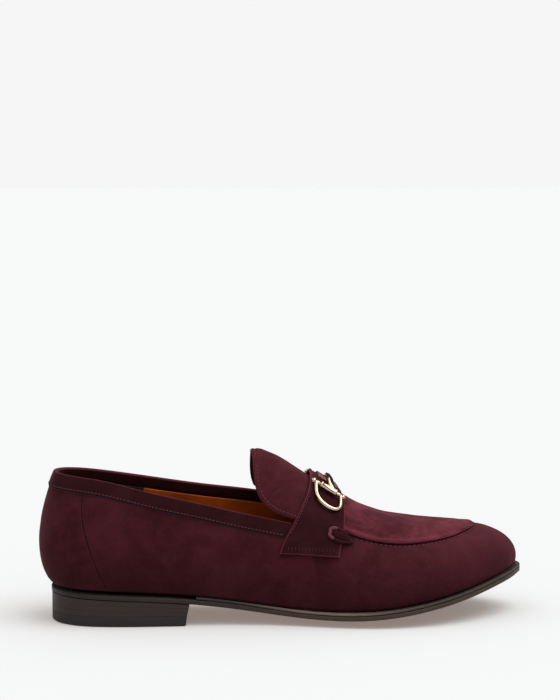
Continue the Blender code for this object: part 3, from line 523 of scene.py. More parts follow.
class Signal:
    """One socket of a material's nodes. Arithmetic on it adds the Math nodes for it."""

    def __init__(self, finish, socket):
        self.finish = finish
        self.socket = socket

    def _math(self, operation, first, second):
        return self.finish.node("ShaderNodeMath", {"operation": operation}, {0: first, 1: second})

    def __add__(self, other):
        return self._math("ADD", self, other)

    def __radd__(self, other):
        return self._math("ADD", other, self)

    def __sub__(self, other):
        return self._math("SUBTRACT", self, other)

    def __rsub__(self, other):
        return self._math("SUBTRACT", other, self)

    def __mul__(self, other):
        return self._math("MULTIPLY", self, other)

    def __rmul__(self, other):
        return self._math("MULTIPLY", other, self)

    def __pow__(self, other):
        return self._math("POWER", self, other)


def set_stops(ramp, stops):
    """Gives a colour ramp its grey (position, value) stops."""
    while len(ramp.elements) < len(stops):
        ramp.elements.new(1.0)
    for element, (position, value) in zip(ramp.elements, stops):
        element.position = position
        element.color = (value, value, value, 1.0)


class Finish:
    """A material made of nodes round one Principled shader."""

    def __init__(self, name):
        self.material = bpy.data.materials.new(name + " finish")
        self.material.use_nodes = True
        self.tree = self.material.node_tree
        self.shader = self.tree.nodes["Principled BSDF"]
        self._place = None

    def feed(self, socket, value):
        """Links a signal to a socket, or sets the socket to a plain value."""
        if isinstance(value, Signal):
            self.tree.links.new(value.socket, socket)
            return
        if hasattr(value, "__len__") and len(value) == 3 and socket.type == "RGBA":
            value = (*value, 1.0)
        socket.default_value = value

    def node(self, kind, settings=None, sockets=None, output=0):
        """Any node: its settings first, then its sockets' values or links."""
        made = self.tree.nodes.new(kind)
        for key, value in (settings or {}).items():
            if key == "stops":
                set_stops(made.color_ramp, value)
            else:
                setattr(made, key, value)
        for key, value in (sockets or {}).items():
            self.feed(made.inputs[key], value)
        return Signal(self, made.outputs[output])

    @property
    def place(self):
        """Position on the piece, in metres."""
        if self._place is None:
            self._place = self.node("ShaderNodeTexCoord", output=3)
        return self._place

    def stretched(self, scale):
        """The position, scaled differently along each axis."""
        return self.node(
            "ShaderNodeVectorMath", {"operation": "MULTIPLY"}, {0: self.place, 1: scale}
        )

    def noise(self, size, detail=2.0, roughness=0.5, distortion=0.0, where=None):
        """Smooth noise of about 0 to 1 with features of the given size in metres."""
        return self.node(
            "ShaderNodeTexNoise", {"noise_dimensions": "3D"},
            {"Vector": where or self.place, "Scale": 1.0 / size, "Detail": detail,
             "Roughness": roughness, "Distortion": distortion},
        )

    def cells(self, size, feature="F1", where=None):
        """Distance to the nearest of scattered points, about 0 to 1."""
        return self.node(
            "ShaderNodeTexVoronoi", {"feature": feature},
            {"Vector": where or self.place, "Scale": 1.0 / size},
        )

    def ramp(self, signal, *stops):
        """A signal bent through (position, value) stops."""
        return self.node("ShaderNodeValToRGB", {"stops": stops}, {0: signal})

    def measure(self, name):
        """A number stored on the piece's points."""
        return self.node(
            "ShaderNodeAttribute", {"attribute_type": "GEOMETRY", "attribute_name": name}, output=2
        )

    def mix(self, factor, first, second, blend="MIX"):
        """Two colours mixed by a factor."""
        return self.node(
            "ShaderNodeMix", {"data_type": "RGBA", "blend_type": blend, "clamp_factor": True},
            {0: factor, 6: first, 7: second}, output=2,
        )

    def bumps(self, *layers):
        """A normal from (height, distance in metres, strength) layers."""
        normal = None
        for height, distance, strength in layers:
            sockets = {"Height": height, "Distance": distance, "Strength": strength}
            if normal is not None:
                sockets["Normal"] = normal
            normal = self.node("ShaderNodeBump", None, sockets)
        return normal

    def set(self, **sockets):
        """Sets the shader's sockets: Base_Color is the socket Base Color."""
        for key, value in sockets.items():
            self.feed(self.shader.inputs[key.replace("_", " ")], value)
        plain = sockets.get("Base_Color")
        if plain is not None and not isinstance(plain, Signal):
            self.material.diffuse_color = (*plain, 1.0)
        return self.material


def cast(base, factor):
    """A colour made lighter or darker."""
    return tuple(min(1.0, c * factor) for c in base)


def near(finish, name, reach):
    """1 where a stored distance in millimetres is 0, falling to 0 at the reach."""
    return finish.node(
        "ShaderNodeMapRange", {"interpolation_type": "SMOOTHSTEP", "clamp": True},
        {0: finish.measure(name), 1: 0.0, 2: reach, 3: 1.0, 4: 0.0},
    )


def suede_finish(name, low, high, nap, shade=0.55, edge_pale_and_highlight=0.5, rim=None):
    """Brushed suede: cloudy patches of raised and flattened nap, drag marks, and fine fibres."""
    finish = Finish(name)
    clouds = finish.noise(0.024, 3.0, 0.60, 0.8)
    drag = finish.noise(0.007, 3.0, 0.6, 0.3, finish.stretched((0.75, 1.0, 1.15)))
    flecks = finish.noise(0.0011, 2.0, 0.6)
    fibre = finish.noise(0.00035, 2.0, 0.7)
    patches = finish.ramp(clouds * 0.72 + drag * 0.28, (0.39, 0.0), (0.61, 1.0))
    tone = patches * nap + flecks * 0.30 - 0.08
    base = finish.mix(tone, low, high)
    # Painted light: the side wall is painted lighter towards the toe, where more light falls on it.
    base = finish.mix(finish.measure("toe") * 0.42, base, cast(high, 1.15))
    # Cut and folded edges are paler suede; on the tie's lace this mix is a painted highlight.
    base = finish.mix(near(finish, "edge", 0.9) * edge_pale_and_highlight, base, rim or high)
    # Painted shade: darker over the lowest 34 mm of the wall, and darkest in the last 2.2 mm, in
    # the tuck above the welt.
    base = finish.mix(near(finish, "ground", 34.0) * 0.45, base, cast(low, 0.45))
    base = finish.mix(near(finish, "ground", 2.2) * 0.75, base, cast(low, 0.25))
    base = finish.mix(finish.ramp(fibre, (0.30, shade), (0.62, 1.0)), (0.0, 0.0, 0.0), base)
    normal = finish.bumps(
        (drag, 0.00040, 0.35), (flecks, 0.00030, 0.45), (fibre, 0.00020, 0.60)
    )
    return finish.set(
        Base_Color=base, Roughness=0.92 - patches * 0.06, Normal=normal, Specular_IOR_Level=0.08,
        Sheen_Weight=0.14, Sheen_Roughness=0.35, Sheen_Tint=(0.80, 0.26, 0.36, 1.0),
    )


def smooth_leather(name, base, roughness=0.42, grain=0.0009, depth=0.00008, wear=0.25, coat=0.1):
    """Dressed smooth leather with a fine pebble, small creases, and paler worn edges."""
    finish = Finish(name)
    pebble = finish.cells(grain)
    crease = finish.noise(grain * 6, 4.0, 0.65, 1.2)
    tone = finish.noise(0.018, 3.0, 0.55)
    dark, pale = cast(base, 0.72), cast(base, 1.30)
    shown = finish.mix(finish.ramp(tone, (0.32, 0.0), (0.68, 1.0)), dark, pale)
    shown = finish.mix(finish.ramp(crease, (0.30, 0.35), (0.44, 0.0)), shown, dark)
    shown = finish.mix(near(finish, "edge", 0.7) * wear, shown, pale)
    normal = finish.bumps((crease, depth * 3, 0.35), (pebble, depth, 0.6))
    return finish.set(
        Base_Color=shown, Roughness=roughness + 0.12 * tone, Normal=normal,
        Coat_Weight=coat, Coat_Roughness=0.35, Specular_IOR_Level=0.22,
    )


def stacked_leather(name, base, layers_mm, wax=0.06, back=None):
    """A dressed edge of stacked leather: fibre lines that run level, scuffs, and a wax polish.

    back is the stain of the waist and heel, and on the welt near the toe also painted shade, where
    the stored "front" is 0."""
    finish = Finish(name)
    level = finish.noise(0.0009, 3.0, 0.6, 0.0, finish.stretched((0.03, 0.03, 1.0)))
    scuff = finish.noise(0.007, 4.0, 0.6)
    speck = finish.noise(0.0005, 2.0, 0.6)
    dark, pale = cast(base, 0.62), cast(base, 1.45)
    streaks = finish.ramp(level * 0.6 + scuff * 0.4, (0.34, 0.0), (0.66, 1.0))
    shown = finish.mix(streaks, dark, pale)
    shown = finish.mix(near(finish, "edge", layers_mm) * 0.55, shown, pale)
    if back:
        stain_and_shade = finish.mix(finish.ramp(scuff, (0.35, 0.0), (0.65, 1.0)), cast(back, 0.8), back)
        shown = finish.mix(finish.measure("front"), stain_and_shade, shown)
    normal = finish.bumps((level, 0.00025, 0.35), (speck, 0.00010, 0.40))
    return finish.set(
        Base_Color=shown, Roughness=0.46 + 0.16 * scuff, Normal=normal,
        Coat_Weight=wax, Coat_Roughness=0.40, Specular_IOR_Level=0.22,
    )


def polished_metal(name, base, roughness=0.06, scratches=0.00001):
    """Plated metal with faint clouding and hairlines."""
    finish = Finish(name)
    cloud = finish.noise(0.004, 3.0, 0.6)
    hair = finish.noise(0.0012, 3.0, 0.6, 0.0, finish.stretched((0.25, 1.0, 2.0)))
    shown = finish.mix(finish.ramp(cloud, (0.35, 0.0), (0.65, 1.0)), cast(base, 0.92), base)
    return finish.set(
        Base_Color=shown, Metallic=1.0, Roughness=roughness + 0.06 * hair,
        Normal=finish.bumps((hair, scratches, 0.5)),
    )


def thread_finish(name, base):
    """Waxed thread with a fine twist."""
    finish = Finish(name)
    twist = finish.noise(0.0003, 2.0, 0.5)
    shown = finish.mix(twist, cast(base, 0.6), cast(base, 1.5))
    return finish.set(
        Base_Color=shown, Roughness=0.75, Normal=finish.bumps((twist, 0.0001, 0.6)),
        Specular_IOR_Level=0.08,
    )


def grainy_finish(name, base, size, contrast=0.35, roughness=0.8, depth=0.0002, metallic=0.0):
    """A plain working material with grains of one size: cork, board, foam, rubber, steel."""
    finish = Finish(name)
    grain = finish.cells(size)
    cloud = finish.noise(size * 6, 3.0, 0.6)
    dark, pale = cast(base, 1 - contrast), cast(base, 1 + contrast)
    shown = finish.mix(finish.ramp(grain * 0.6 + cloud * 0.4, (0.2, 0.0), (0.7, 1.0)), dark, pale)
    shown = finish.mix(near(finish, "edge", 0.8) * 0.4, shown, pale)
    return finish.set(
        Base_Color=shown, Metallic=metallic, Roughness=roughness + 0.08 * cloud,
        Normal=finish.bumps((grain, depth, 0.4)), Specular_IOR_Level=0.35,
    )


def make_finishes(colours):
    """Makes every finish of the shoe, from (maker, colours and sizes) by name."""
    suede, nap, trim, lining, dark_lining, sole_edge, stack, welt, rubber, metal, thread = (
        tuple(getattr(colours, name))
        for name in ("suede", "suede_nap", "trim", "lining", "dark_lining", "sole_edge",
                     "heel_stack", "welt", "rubber", "metal", "thread")
    )
    recipes = {
        "side_suede": (suede_finish, cast(suede, 0.84), nap, 0.44),
        # The apron's suede is a lighter copy of the side's: painted light and sheen on its top.
        "apron_suede": (suede_finish, cast(suede, 1.05), cast(nap, 1.60), 0.85),
        "strap_suede": (
            suede_finish, cast(suede, 0.50), cast(nap, 0.58), 0.45, 0.55, 0.9, cast(nap, 1.9)
        ),
        "collar_suede": (
            suede_finish, cast(suede, 0.46), cast(nap, 0.50), 0.40, 0.55, 0.8, cast(nap, 1.1)
        ),
        "tongue_suede": (suede_finish, cast(suede, 0.92), nap, 0.55),
        # The tie's pale rim colour is the painted highlight on the back of its lace.
        "tie_suede": (
            suede_finish, cast(suede, 0.70), cast(nap, 0.9), 0.20, 0.55, 0.75, (0.150, 0.054, 0.062)
        ),
        # Near black: painted shade inside the tie's hole and under the collar's band.
        "hole_dark": (grainy_finish, (0.010, 0.004, 0.005), 0.0006, 0.3, 0.9),
        "sock_leather": (smooth_leather, cast(lining, 1.05), 0.48),
        "flap_leather": (smooth_leather, cast(suede, 0.80), 0.55),
        "trim_leather": (smooth_leather, trim, 0.45),
        "lining_leather": (smooth_leather, lining, 0.50, 0.0012, 0.00006, 0.25, 0.0),
        "dark_lining": (smooth_leather, cast(dark_lining, 0.55), 0.75, 0.0012, 0.00006, 0.25, 0.0),
        "sole_edge": (stacked_leather, sole_edge, 0.4, 0.06, stack),
        "heel_stack": (stacked_leather, stack, 0.25),
        "welt_leather": (stacked_leather, welt, 0.5, 0.1, stack),
        "insole_leather": (smooth_leather, (0.30, 0.19, 0.11), 0.65),
        "rubber": (grainy_finish, rubber, 0.0008, 0.25, 0.62, 0.00008),
        "cork": (grainy_finish, (0.36, 0.22, 0.12), 0.0020, 0.5, 0.88),
        "board": (grainy_finish, (0.55, 0.45, 0.33), 0.0010, 0.2, 0.80),
        "foam": (grainy_finish, (0.75, 0.70, 0.55), 0.0007, 0.15, 0.90),
        "steel": (grainy_finish, (0.55, 0.55, 0.56), 0.0006, 0.1, 0.33, 0.00002, 1.0),
        "pale_gold": (polished_metal, metal),
        "brass": (polished_metal, (0.72, 0.52, 0.22), 0.30, 0.00003),
        "thread": (thread_finish, thread),
        "pale_thread": (thread_finish, cast(thread, 1.7)),
    }
    return [maker(name, *values) for name, (maker, *values) in recipes.items()]


def finish_named(name):
    """A finish that the first operator made."""
    return bpy.data.materials[name + " finish"]


# ---- meshes ----

EDGE_STEPS = np.array([0.0, 0.00012, 0.00035, 0.0007, 0.0011, 0.0017, 0.0026])
RIDGE = np.array([0.0])
# Stored as "ground", in millimetres, on pieces that get no painted shade towards the sole.
FAR_OFF = 99.0
FINE_RISE = np.linspace(0, 1, 241) ** 1.7


def spaced(length, count, near_start=EDGE_STEPS, near_end=EDGE_STEPS):
    """Distances along a strip: close together near its edges, and even between."""
    shrink = min(1.0, length / (3 * (near_start[-1] + near_end[-1] + 1e-9)))
    near_start, near_end = near_start * shrink, near_end * shrink
    middle = np.linspace(near_start[-1], length - near_end[-1], count)[1:-1]
    return np.concatenate([near_start, middle, length - near_end[::-1]])


def shares(length, count, **ends):
    """The same as shares of the strip's length."""
    return spaced(length, count, **ends) / length


def climb(places, low, high, count, near_low=EDGE_STEPS, near_high=EDGE_STEPS):
    """Rises of a grid's rows, a column for each place, close together near its edges."""
    places = np.asarray(places, float)
    low, high = np.broadcast_to(low, places.shape), np.broadcast_to(high, places.shape)
    points = form(places[:, None], FINE_RISE)
    steps = np.linalg.norm(np.diff(points, axis=1), axis=2)
    run = np.concatenate([np.zeros((len(places), 1)), np.cumsum(steps, axis=1)], axis=1)
    rises = []
    for i in range(len(places)):
        start, end = np.interp((low[i], high[i]), FINE_RISE, run[i])
        rows = start + spaced(end - start, count, near_low, near_high)
        rises.append(np.interp(rows, run[i], FINE_RISE))
    return np.array(rises)


def with_ends(places, near_mm=(0.12, 0.35, 0.7, 1.1, 1.7)):
    """Places with more of them close to both ends, for rolled edges."""
    length = np.linalg.norm(np.diff(OUTLINE(places), axis=0), axis=1).sum()
    near = np.array(near_mm) * MM / length * (places[-1] - places[0])
    return np.sort(np.concatenate([places, places[0] + near, places[-1] - near]))


def hump(distance, middle, width):
    """A smooth bump of height 1."""
    return np.exp(-(((distance - middle) / width) ** 2))


def rolled(distance, radius):
    """Section of a rounded edge: 0 at the edge, 1 from the radius on."""
    return np.sqrt(np.clip(1 - (1 - np.clip(distance / radius, 0, 1)) ** 2, 0, 1))


def borders(points, edges):
    """The grid's border lines of those names."""
    lines = {
        "start": points[0], "end": points[-1], "low": points[:, 0], "high": points[:, -1],
    }
    return [lines[name] for name in edges]


def densified(line, step):
    """A line with points no further apart than the step."""
    length = np.linalg.norm(np.diff(line, axis=0), axis=1)
    run = np.concatenate([[0.0], np.cumsum(length)])
    wanted = np.linspace(0, run[-1], max(2, int(run[-1] / step)))
    return np.stack([np.interp(wanted, run, line[:, k]) for k in range(3)], axis=1)


def distance_from(points, lines, step=0.0002):
    """Distance of each point of a grid from the nearest of some lines."""
    marks = np.concatenate([densified(line, step) for line in lines])
    tree = KDTree(len(marks))
    for i, mark in enumerate(marks):
        tree.insert(mark, i)
    tree.balance()
    flat = points.reshape(-1, 3)
    return np.array([tree.find(p)[2] for p in flat]).reshape(points.shape[:-1])


# Depth of the waves in each piece of suede.
WALL_WAVES = 0.16 * MM
APRON_WAVES = 0.18 * MM
STRAP_WAVES = 0.08 * MM
TONGUE_WAVES = 0.12 * MM


def undulation(points, depth):
    """The slight waves of hand-lasted suede: the same for every run."""
    x, y, z = (points[..., k] * 1000 for k in range(3))
    waves = (
        np.sin(x * 0.11 + z * 0.07 + 1.3) + 0.7 * np.sin(x * 0.23 - z * 0.19 + y * 0.05)
        + 0.5 * np.sin(x * 0.41 + z * 0.33 + 2.1) + 0.35 * np.sin(x * 0.67 - y * 0.29 + z * 0.5)
    )
    return depth * waves / 2.5


def grid_faces(columns, rows, ring=False):
    """Corner numbers of a grid's quads."""
    last = columns if ring else columns - 1
    i, j = np.meshgrid(np.arange(last), np.arange(rows - 1), indexing="ij")
    k = (i + 1) % columns
    quads = np.stack([i * rows + j, k * rows + j, k * rows + j + 1, i * rows + j + 1], axis=-1)
    return quads.reshape(-1, 4)


def mesh_of(name, points, faces, values=None):
    """A mesh with numbers kept on its points, by name."""
    mesh = bpy.data.meshes.new(name)
    mesh.from_pydata([tuple(p) for p in points], [], faces)
    for key, value in (values or {}).items():
        stored = mesh.attributes.new(key, "FLOAT", "POINT")
        stored.data.foreach_set("value", np.asarray(value, np.float32))
    return mesh


def two_sheets(outer, inner, values=None, folded=False, ring=False):
    """A closed mesh between two grids. Values are numbers kept on its points, by name."""
    columns, rows = outer.shape[:2]
    count = columns * rows
    top = grid_faces(columns, rows, ring)
    faces = [top, top[:, ::-1] + count]
    last = columns if ring else columns - 1
    i = np.arange(last)
    k = (i + 1) % columns
    for j, turn in ((0, 1), (rows - 1, -1)):
        side = np.stack([i * rows + j, count + i * rows + j, count + k * rows + j, k * rows + j], 1)
        faces.append(side[:, ::turn])
    ends = () if ring else ((0, -1),) if folded else ((0, -1), (columns - 1, 1))
    for column, turn in ends:
        j = np.arange(rows - 1) + column * rows
        faces.append(np.stack([j, count + j, count + j + 1, j + 1], 1)[:, ::turn])
    points = np.concatenate([outer.reshape(-1, 3), inner.reshape(-1, 3)])
    both = {
        key: np.tile(np.broadcast_to(value, outer.shape[:2]).ravel(), 2)
        for key, value in (values or {}).items()
    }
    return mesh_of("sheets", points, np.concatenate(faces).tolist(), both)


def placed(name, data):
    """A new object in the scene."""
    made = bpy.data.objects.new(name, data)
    bpy.context.scene.collection.objects.link(made)
    return made


def piece(mesh, name, body, finish, stands_for=(), sharp=50.0):
    """Puts a mesh in the scene as one piece that rides on a body."""
    shape = bmesh.new()
    if isinstance(mesh, bmesh.types.BMesh):
        shape.free()
        shape = mesh
        mesh = bpy.data.meshes.new(name)
    else:
        shape.from_mesh(mesh)
    bmesh.ops.remove_doubles(shape, verts=shape.verts, dist=1e-6)
    bmesh.ops.dissolve_degenerate(shape, edges=shape.edges, dist=1e-7)
    bmesh.ops.recalc_face_normals(shape, faces=shape.faces)
    if shape.calc_volume(signed=True) < 0:
        bmesh.ops.reverse_faces(shape, faces=shape.faces)
    shape.to_mesh(mesh)
    shape.free()
    if not mesh.vertices:
        raise RuntimeError(f"{name} has no points")
    mesh.name = name
    mesh.materials.append(finish_named(finish))
    mesh.shade_smooth()
    mesh.set_sharp_from_angle(angle=np.radians(sharp))
    made = placed(name, mesh)
    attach(made, body)
    if stands_for:
        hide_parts(*stands_for)


def tube_faces(rings, sides, closed=False, first=0):
    """Corner numbers of a tube's quads, and of its two end caps if it is open."""
    faces = []
    for i in range(rings if closed else rings - 1):
        for j in range(sides):
            a, b, k = first + i * sides, first + (i + 1) % rings * sides, (j + 1) % sides
            faces.append((a + j, a + k, b + k, b + j))
    if not closed:
        for start in (first, first + (rings - 1) * sides):
            faces.append(tuple(range(start, start + sides)))
    return faces


def leather(grid, outer, inner, edges, radius, relief=None, keep=0.14):
    """The outer and inner sheet of a piece on the form, with rolled edges, and the distance of
    each point from those edges. Relief gives more height from (points, distance)."""
    points, normal = form(*grid), outward(*grid)
    far = distance_from(points, borders(points, edges))
    full = keep + (1 - keep) * rolled(far, radius)
    middle = (outer + inner) / 2
    high = middle + (outer - middle) * full
    low = middle + (inner - middle) * full
    if relief is not None:
        high = high + relief(points, far)
    return points + normal * high[..., None], points + normal * low[..., None], far


# Sides of a stitch, how far its ends dip, and its width at places along it.
STITCH_SIDES = 8
STITCH_DIP = 0.8
STITCH_PROFILE = (
    (-0.5, 0.15), (-0.42, 0.75), (-0.25, 1.0), (0.0, 1.08), (0.25, 1.0), (0.42, 0.75), (0.5, 0.15)
)


def stitch_row(line, outs, sizes, name, body, finish="thread", sink=0.25,
               pitch=None, length=None, radius=None, slant=0.0):
    """A row of stitches, each a short rounded length of thread lying along a line."""
    pitch, length = pitch or sizes.stitch_pitch, length or sizes.stitch_length
    radius = radius or sizes.thread_radius
    steps = np.linalg.norm(np.diff(line, axis=0), axis=1)
    run = np.concatenate([[0.0], np.cumsum(steps)])
    count = int((run[-1] - length) / pitch)
    centres = (np.arange(count) + 0.5) * pitch + (run[-1] - count * pitch) / 2

    def at(values, where):
        return np.array([np.interp(where, run, values[:, k]) for k in range(3)])

    points, faces = [], []
    for centre in centres:
        ahead = unit(at(line, centre + length / 2) - at(line, centre - length / 2))
        out = at(outs, centre)
        out = unit(out - ahead * np.dot(out, ahead))
        across = np.cross(ahead, out)
        ahead = unit(ahead + across * slant)
        middle = at(line, centre)
        faces += tube_faces(len(STITCH_PROFILE), STITCH_SIDES, first=len(points))
        for along, width in STITCH_PROFILE:
            arch = radius * (1 - sink - STITCH_DIP * (2 * along) ** 4)
            spine = middle + ahead * along * length + out * arch
            for angle in rounds(STITCH_SIDES):
                offset = across * np.cos(angle) + out * np.sin(angle)
                points.append(spine + offset * radius * width)
    piece(mesh_of(name, points, faces), name, body, finish)


def swept(path, radius, sides, flat, closed=False, squash=1.0, values=None):
    """A round or oval rod along a path of points, squashed along the flat directions."""
    path = np.array(path, float)
    count = len(path)
    radius = np.broadcast_to(radius, count)
    ahead, behind = np.roll(path, -1, axis=0), np.roll(path, 1, axis=0)
    if not closed:
        ahead[-1], behind[0] = path[-1], path[0]
    along = unit(ahead - behind)
    flat = np.broadcast_to(np.asarray(flat, float), path.shape)
    flat = unit(flat - along * (flat * along).sum(axis=1, keepdims=True))
    across = np.cross(along, flat)
    angle = rounds(sides)
    reach = radius[:, None, None]
    rings = path[:, None] + reach * (
        np.cos(angle)[None, :, None] * across[:, None]
        + squash * np.sin(angle)[None, :, None] * flat[:, None]
    )
    return mesh_of("rod", rings.reshape(-1, 3), tube_faces(count, sides, closed), values)


def lathe(profile, segments):
    """A mesh turned about +Z from (radius, height) points that start and end on the axis."""
    shape = bmesh.new()
    points = [shape.verts.new((r, 0.0, z)) for r, z in profile]
    edges = [shape.edges.new(pair) for pair in zip(points, points[1:])]
    bmesh.ops.spin(
        shape, geom=points + edges, axis=(0, 0, 1), cent=(0, 0, 0),
        steps=segments, angle=2 * np.pi, use_merge=True,
    )
    return shape


# ---- the pieces, one operator for each or for a group of like ones ----


class PieceMaker:
    """What the operators share."""

    bl_options = {"REGISTER", "UNDO"}

    @property
    def sizes(self):
        return bpy.context.scene.loafer_sizes

    @property
    def colours(self):
        return bpy.context.scene.loafer_colours


def on_form(around, rise, lift):
    """Points over the form at a height, and the outward directions there."""
    normal = outward(around, rise)
    lift = np.broadcast_to(lift, normal.shape[:-1])
    return form(around, rise) + normal * lift[..., None], normal


def ridge_grid(xs, low, count):
    """A grid over the ridge, a column for each length, from the rise low(xs, side) up."""
    halves = []
    for side in (LATERAL, MEDIAL):
        places = around_at(xs, side)
        rise = climb(places, low(xs, side), 1.0, count, near_high=RIDGE)
        halves.append((np.broadcast_to(places[:, None], rise.shape), rise))
    return across_ridge(*halves)


def joined(lateral, medial):
    """A line over the ridge and its directions, from two lines that each end on the ridge."""
    return [np.concatenate([first, second[-2::-1]]) for first, second in zip(lateral, medial)]


def seam_grid(middle, first_seam, last_seam, top, count):
    """Places and rises of a wall between two slanting seams, given as functions of rise."""
    rows = climb(middle, 0.0, top(middle), count) / top(middle)[:, None]
    rise = rows * top(middle)[:, None]
    first, last = first_seam(rise), last_seam(rise)
    share = (middle - middle[0]) / (middle[-1] - middle[0])
    places = first + (last - first) * share[:, None]
    return places, rows * top(places)


class LOAFER_OT_finishes(PieceMaker, bpy.types.Operator):
    """Makes the finishes that the pieces use"""

    bl_idname = "loafer.make_finishes"
    bl_label = "Finishes"

    def execute(self, context):
        made = make_finishes(self.colours)
        if len(made) != len({m.name for m in made}):
            raise RuntimeError("two finishes have one name")
        return {"FINISHED"}


FEATHER_TUCK = 1.0 * MM
TUCK_HEIGHT = 1.5 * MM
SEAM_GROOVE = 0.55 * MM
APRON_GROOVE_START = 0.028
HEEL_SEAM_MEAN = -0.112
SEAM_TAPE = 0.9 * MM


class LOAFER_OT_side_wall(PieceMaker, bpy.types.Operator):
    """Makes the side wall round the toe and the heel piece, turned in at the sole"""

    bl_idname = "loafer.make_side_wall"
    bl_label = "Side wall and heel piece"

    def execute(self, context):
        places = round_toe(APRON_GROOVE_START, 400)
        edge_line = form(places, apron_rise(OUTLINE(places)[:, 0]))

        def wall(grid, grooves, name, node):
            points = form(*grid)
            low_edge = distance_from(points, borders(points, ["low"]))

            def relief(points, far):
                tucked = -FEATHER_TUCK * (1 - rolled(low_edge, TUCK_HEIGHT))
                wave = undulation(points, WALL_WAVES) * smooth_share(low_edge, 0.002, 0.010)
                height = tucked + wave
                for line in grooves:
                    seam = distance_from(points, [line])
                    height = height - SEAM_GROOVE * hump(seam, 0.0006, 0.0011)
                return height

            high, low, far = leather(
                grid, 0.0, WALL_IN, ["start", "end"], self.sizes.edge_radius, relief
            )
            values = {
                "edge": far / MM,
                # "ground" carries the painted shade near the sole into the suede finish.
                "ground": low_edge / MM,
                # "toe" carries the painted light towards the toe into the suede finish.
                "toe": smooth_share(points[..., 0], 0.070, 0.125),
            }
            mesh = two_sheets(high, low, values)
            piece(mesh, name, "shoe", "side_suede", [node])

        grid = seam_grid(
            with_ends(round_toe(HEEL_SEAM_MEAN, self.sizes.columns)),
            lambda rise: around_at(heel_seam_place(rise) + GAP, LATERAL),
            lambda rise: around_at(heel_seam_place(rise) + GAP, MEDIAL),
            wall_top_rise, 26,
        )
        wall(grid, [edge_line], "side_wall", "vamp_wall")
        grid = seam_grid(
            with_ends(round_heel(HEEL_SEAM_MEAN, 70)),
            lambda rise: around_at(heel_seam_place(rise), MEDIAL),
            lambda rise: 1 + around_at(heel_seam_place(rise), LATERAL),
            top_line_rise, 26,
        )
        wall(grid, [], "heel_back", "heel_piece")
        for side, name in SIDES:
            self.seam_tape(side, name)
        return {"FINISHED"}

    @staticmethod
    def seam_tape(side, name):
        """The tape that closes a heel seam from inside."""
        top = float(top_line_rise(around_at(float(heel_seam_place(0.6)), side)))
        rise = np.linspace(0.0, top - 0.01, 160)
        places = around_at(heel_seam_place(rise) + GAP / 2, side)
        line, outs = on_form(places, rise, WALL_IN * 0.55)
        tape = swept(line, SEAM_TAPE, 12, outs, squash=0.5)
        piece(tape, f"heel_seam_tape_{name}", "shoe", "collar_suede")


APRON_THINNING = 0.60
APRON_STITCH_START = 0.0400
APRON_STITCH_DROP = 1.4 * MM


class LOAFER_OT_apron(PieceMaker, bpy.types.Operator):
    """Makes the apron with its standing lip, and the stitches in the groove round it"""

    bl_idname = "loafer.make_apron"
    bl_label = "Apron"

    def execute(self, context):
        sizes = self.sizes
        phase = np.linspace(0, 1, 110)
        xs = APRON_BACK + (TOE_END - APRON_BACK) * np.sin(np.pi / 2 * phase)
        grid = ridge_grid(xs, lambda x, side: apron_rise(x), 22)

        def relief(points, far):
            ahead = smooth_share(points[..., 0], 0.090, 0.112)
            lip = sizes.lip_height * hump(far, 0.0012, 0.0011) * (1 - 0.45 * ahead)
            return lip - 0.00035 * hump(far, 0.0034, 0.0010) + undulation(points, APRON_WAVES)

        thinned = APRON_THINNING * smooth_share(OUTLINE(grid[0])[..., 0], 0.070, 0.112)
        thick = APRON_THICKNESS * (1 - thinned)
        high, low, far = leather(
            grid, GAP + thick, GAP, ["low", "high"], sizes.edge_radius, relief
        )
        mesh = two_sheets(high, low, {"edge": far / MM, "ground": FAR_OFF}, folded=True)
        piece(mesh, "apron_plug", "shoe", "apron_suede", ["apron"])

        places = round_toe(APRON_STITCH_START, 500)
        edge = apron_rise(OUTLINE(places)[:, 0])
        line, outs = on_form(places, rise_step(places, edge, APRON_STITCH_DROP), -0.00020)
        stitch_row(line, outs, sizes, "apron_stitches", "shoe", pitch=0.0030, length=0.0017)
        return {"FINISHED"}


FOOT_STITCH_INSET = 3.8 * MM
EDGE_STITCH_INSET = 1.3 * MM


def strap_x(rise, share):
    """Lengths on the strap: its back edge at share 0, its front edge at 1."""
    return strap_back(rise) + (strap_front(rise) - strap_back(rise)) * share


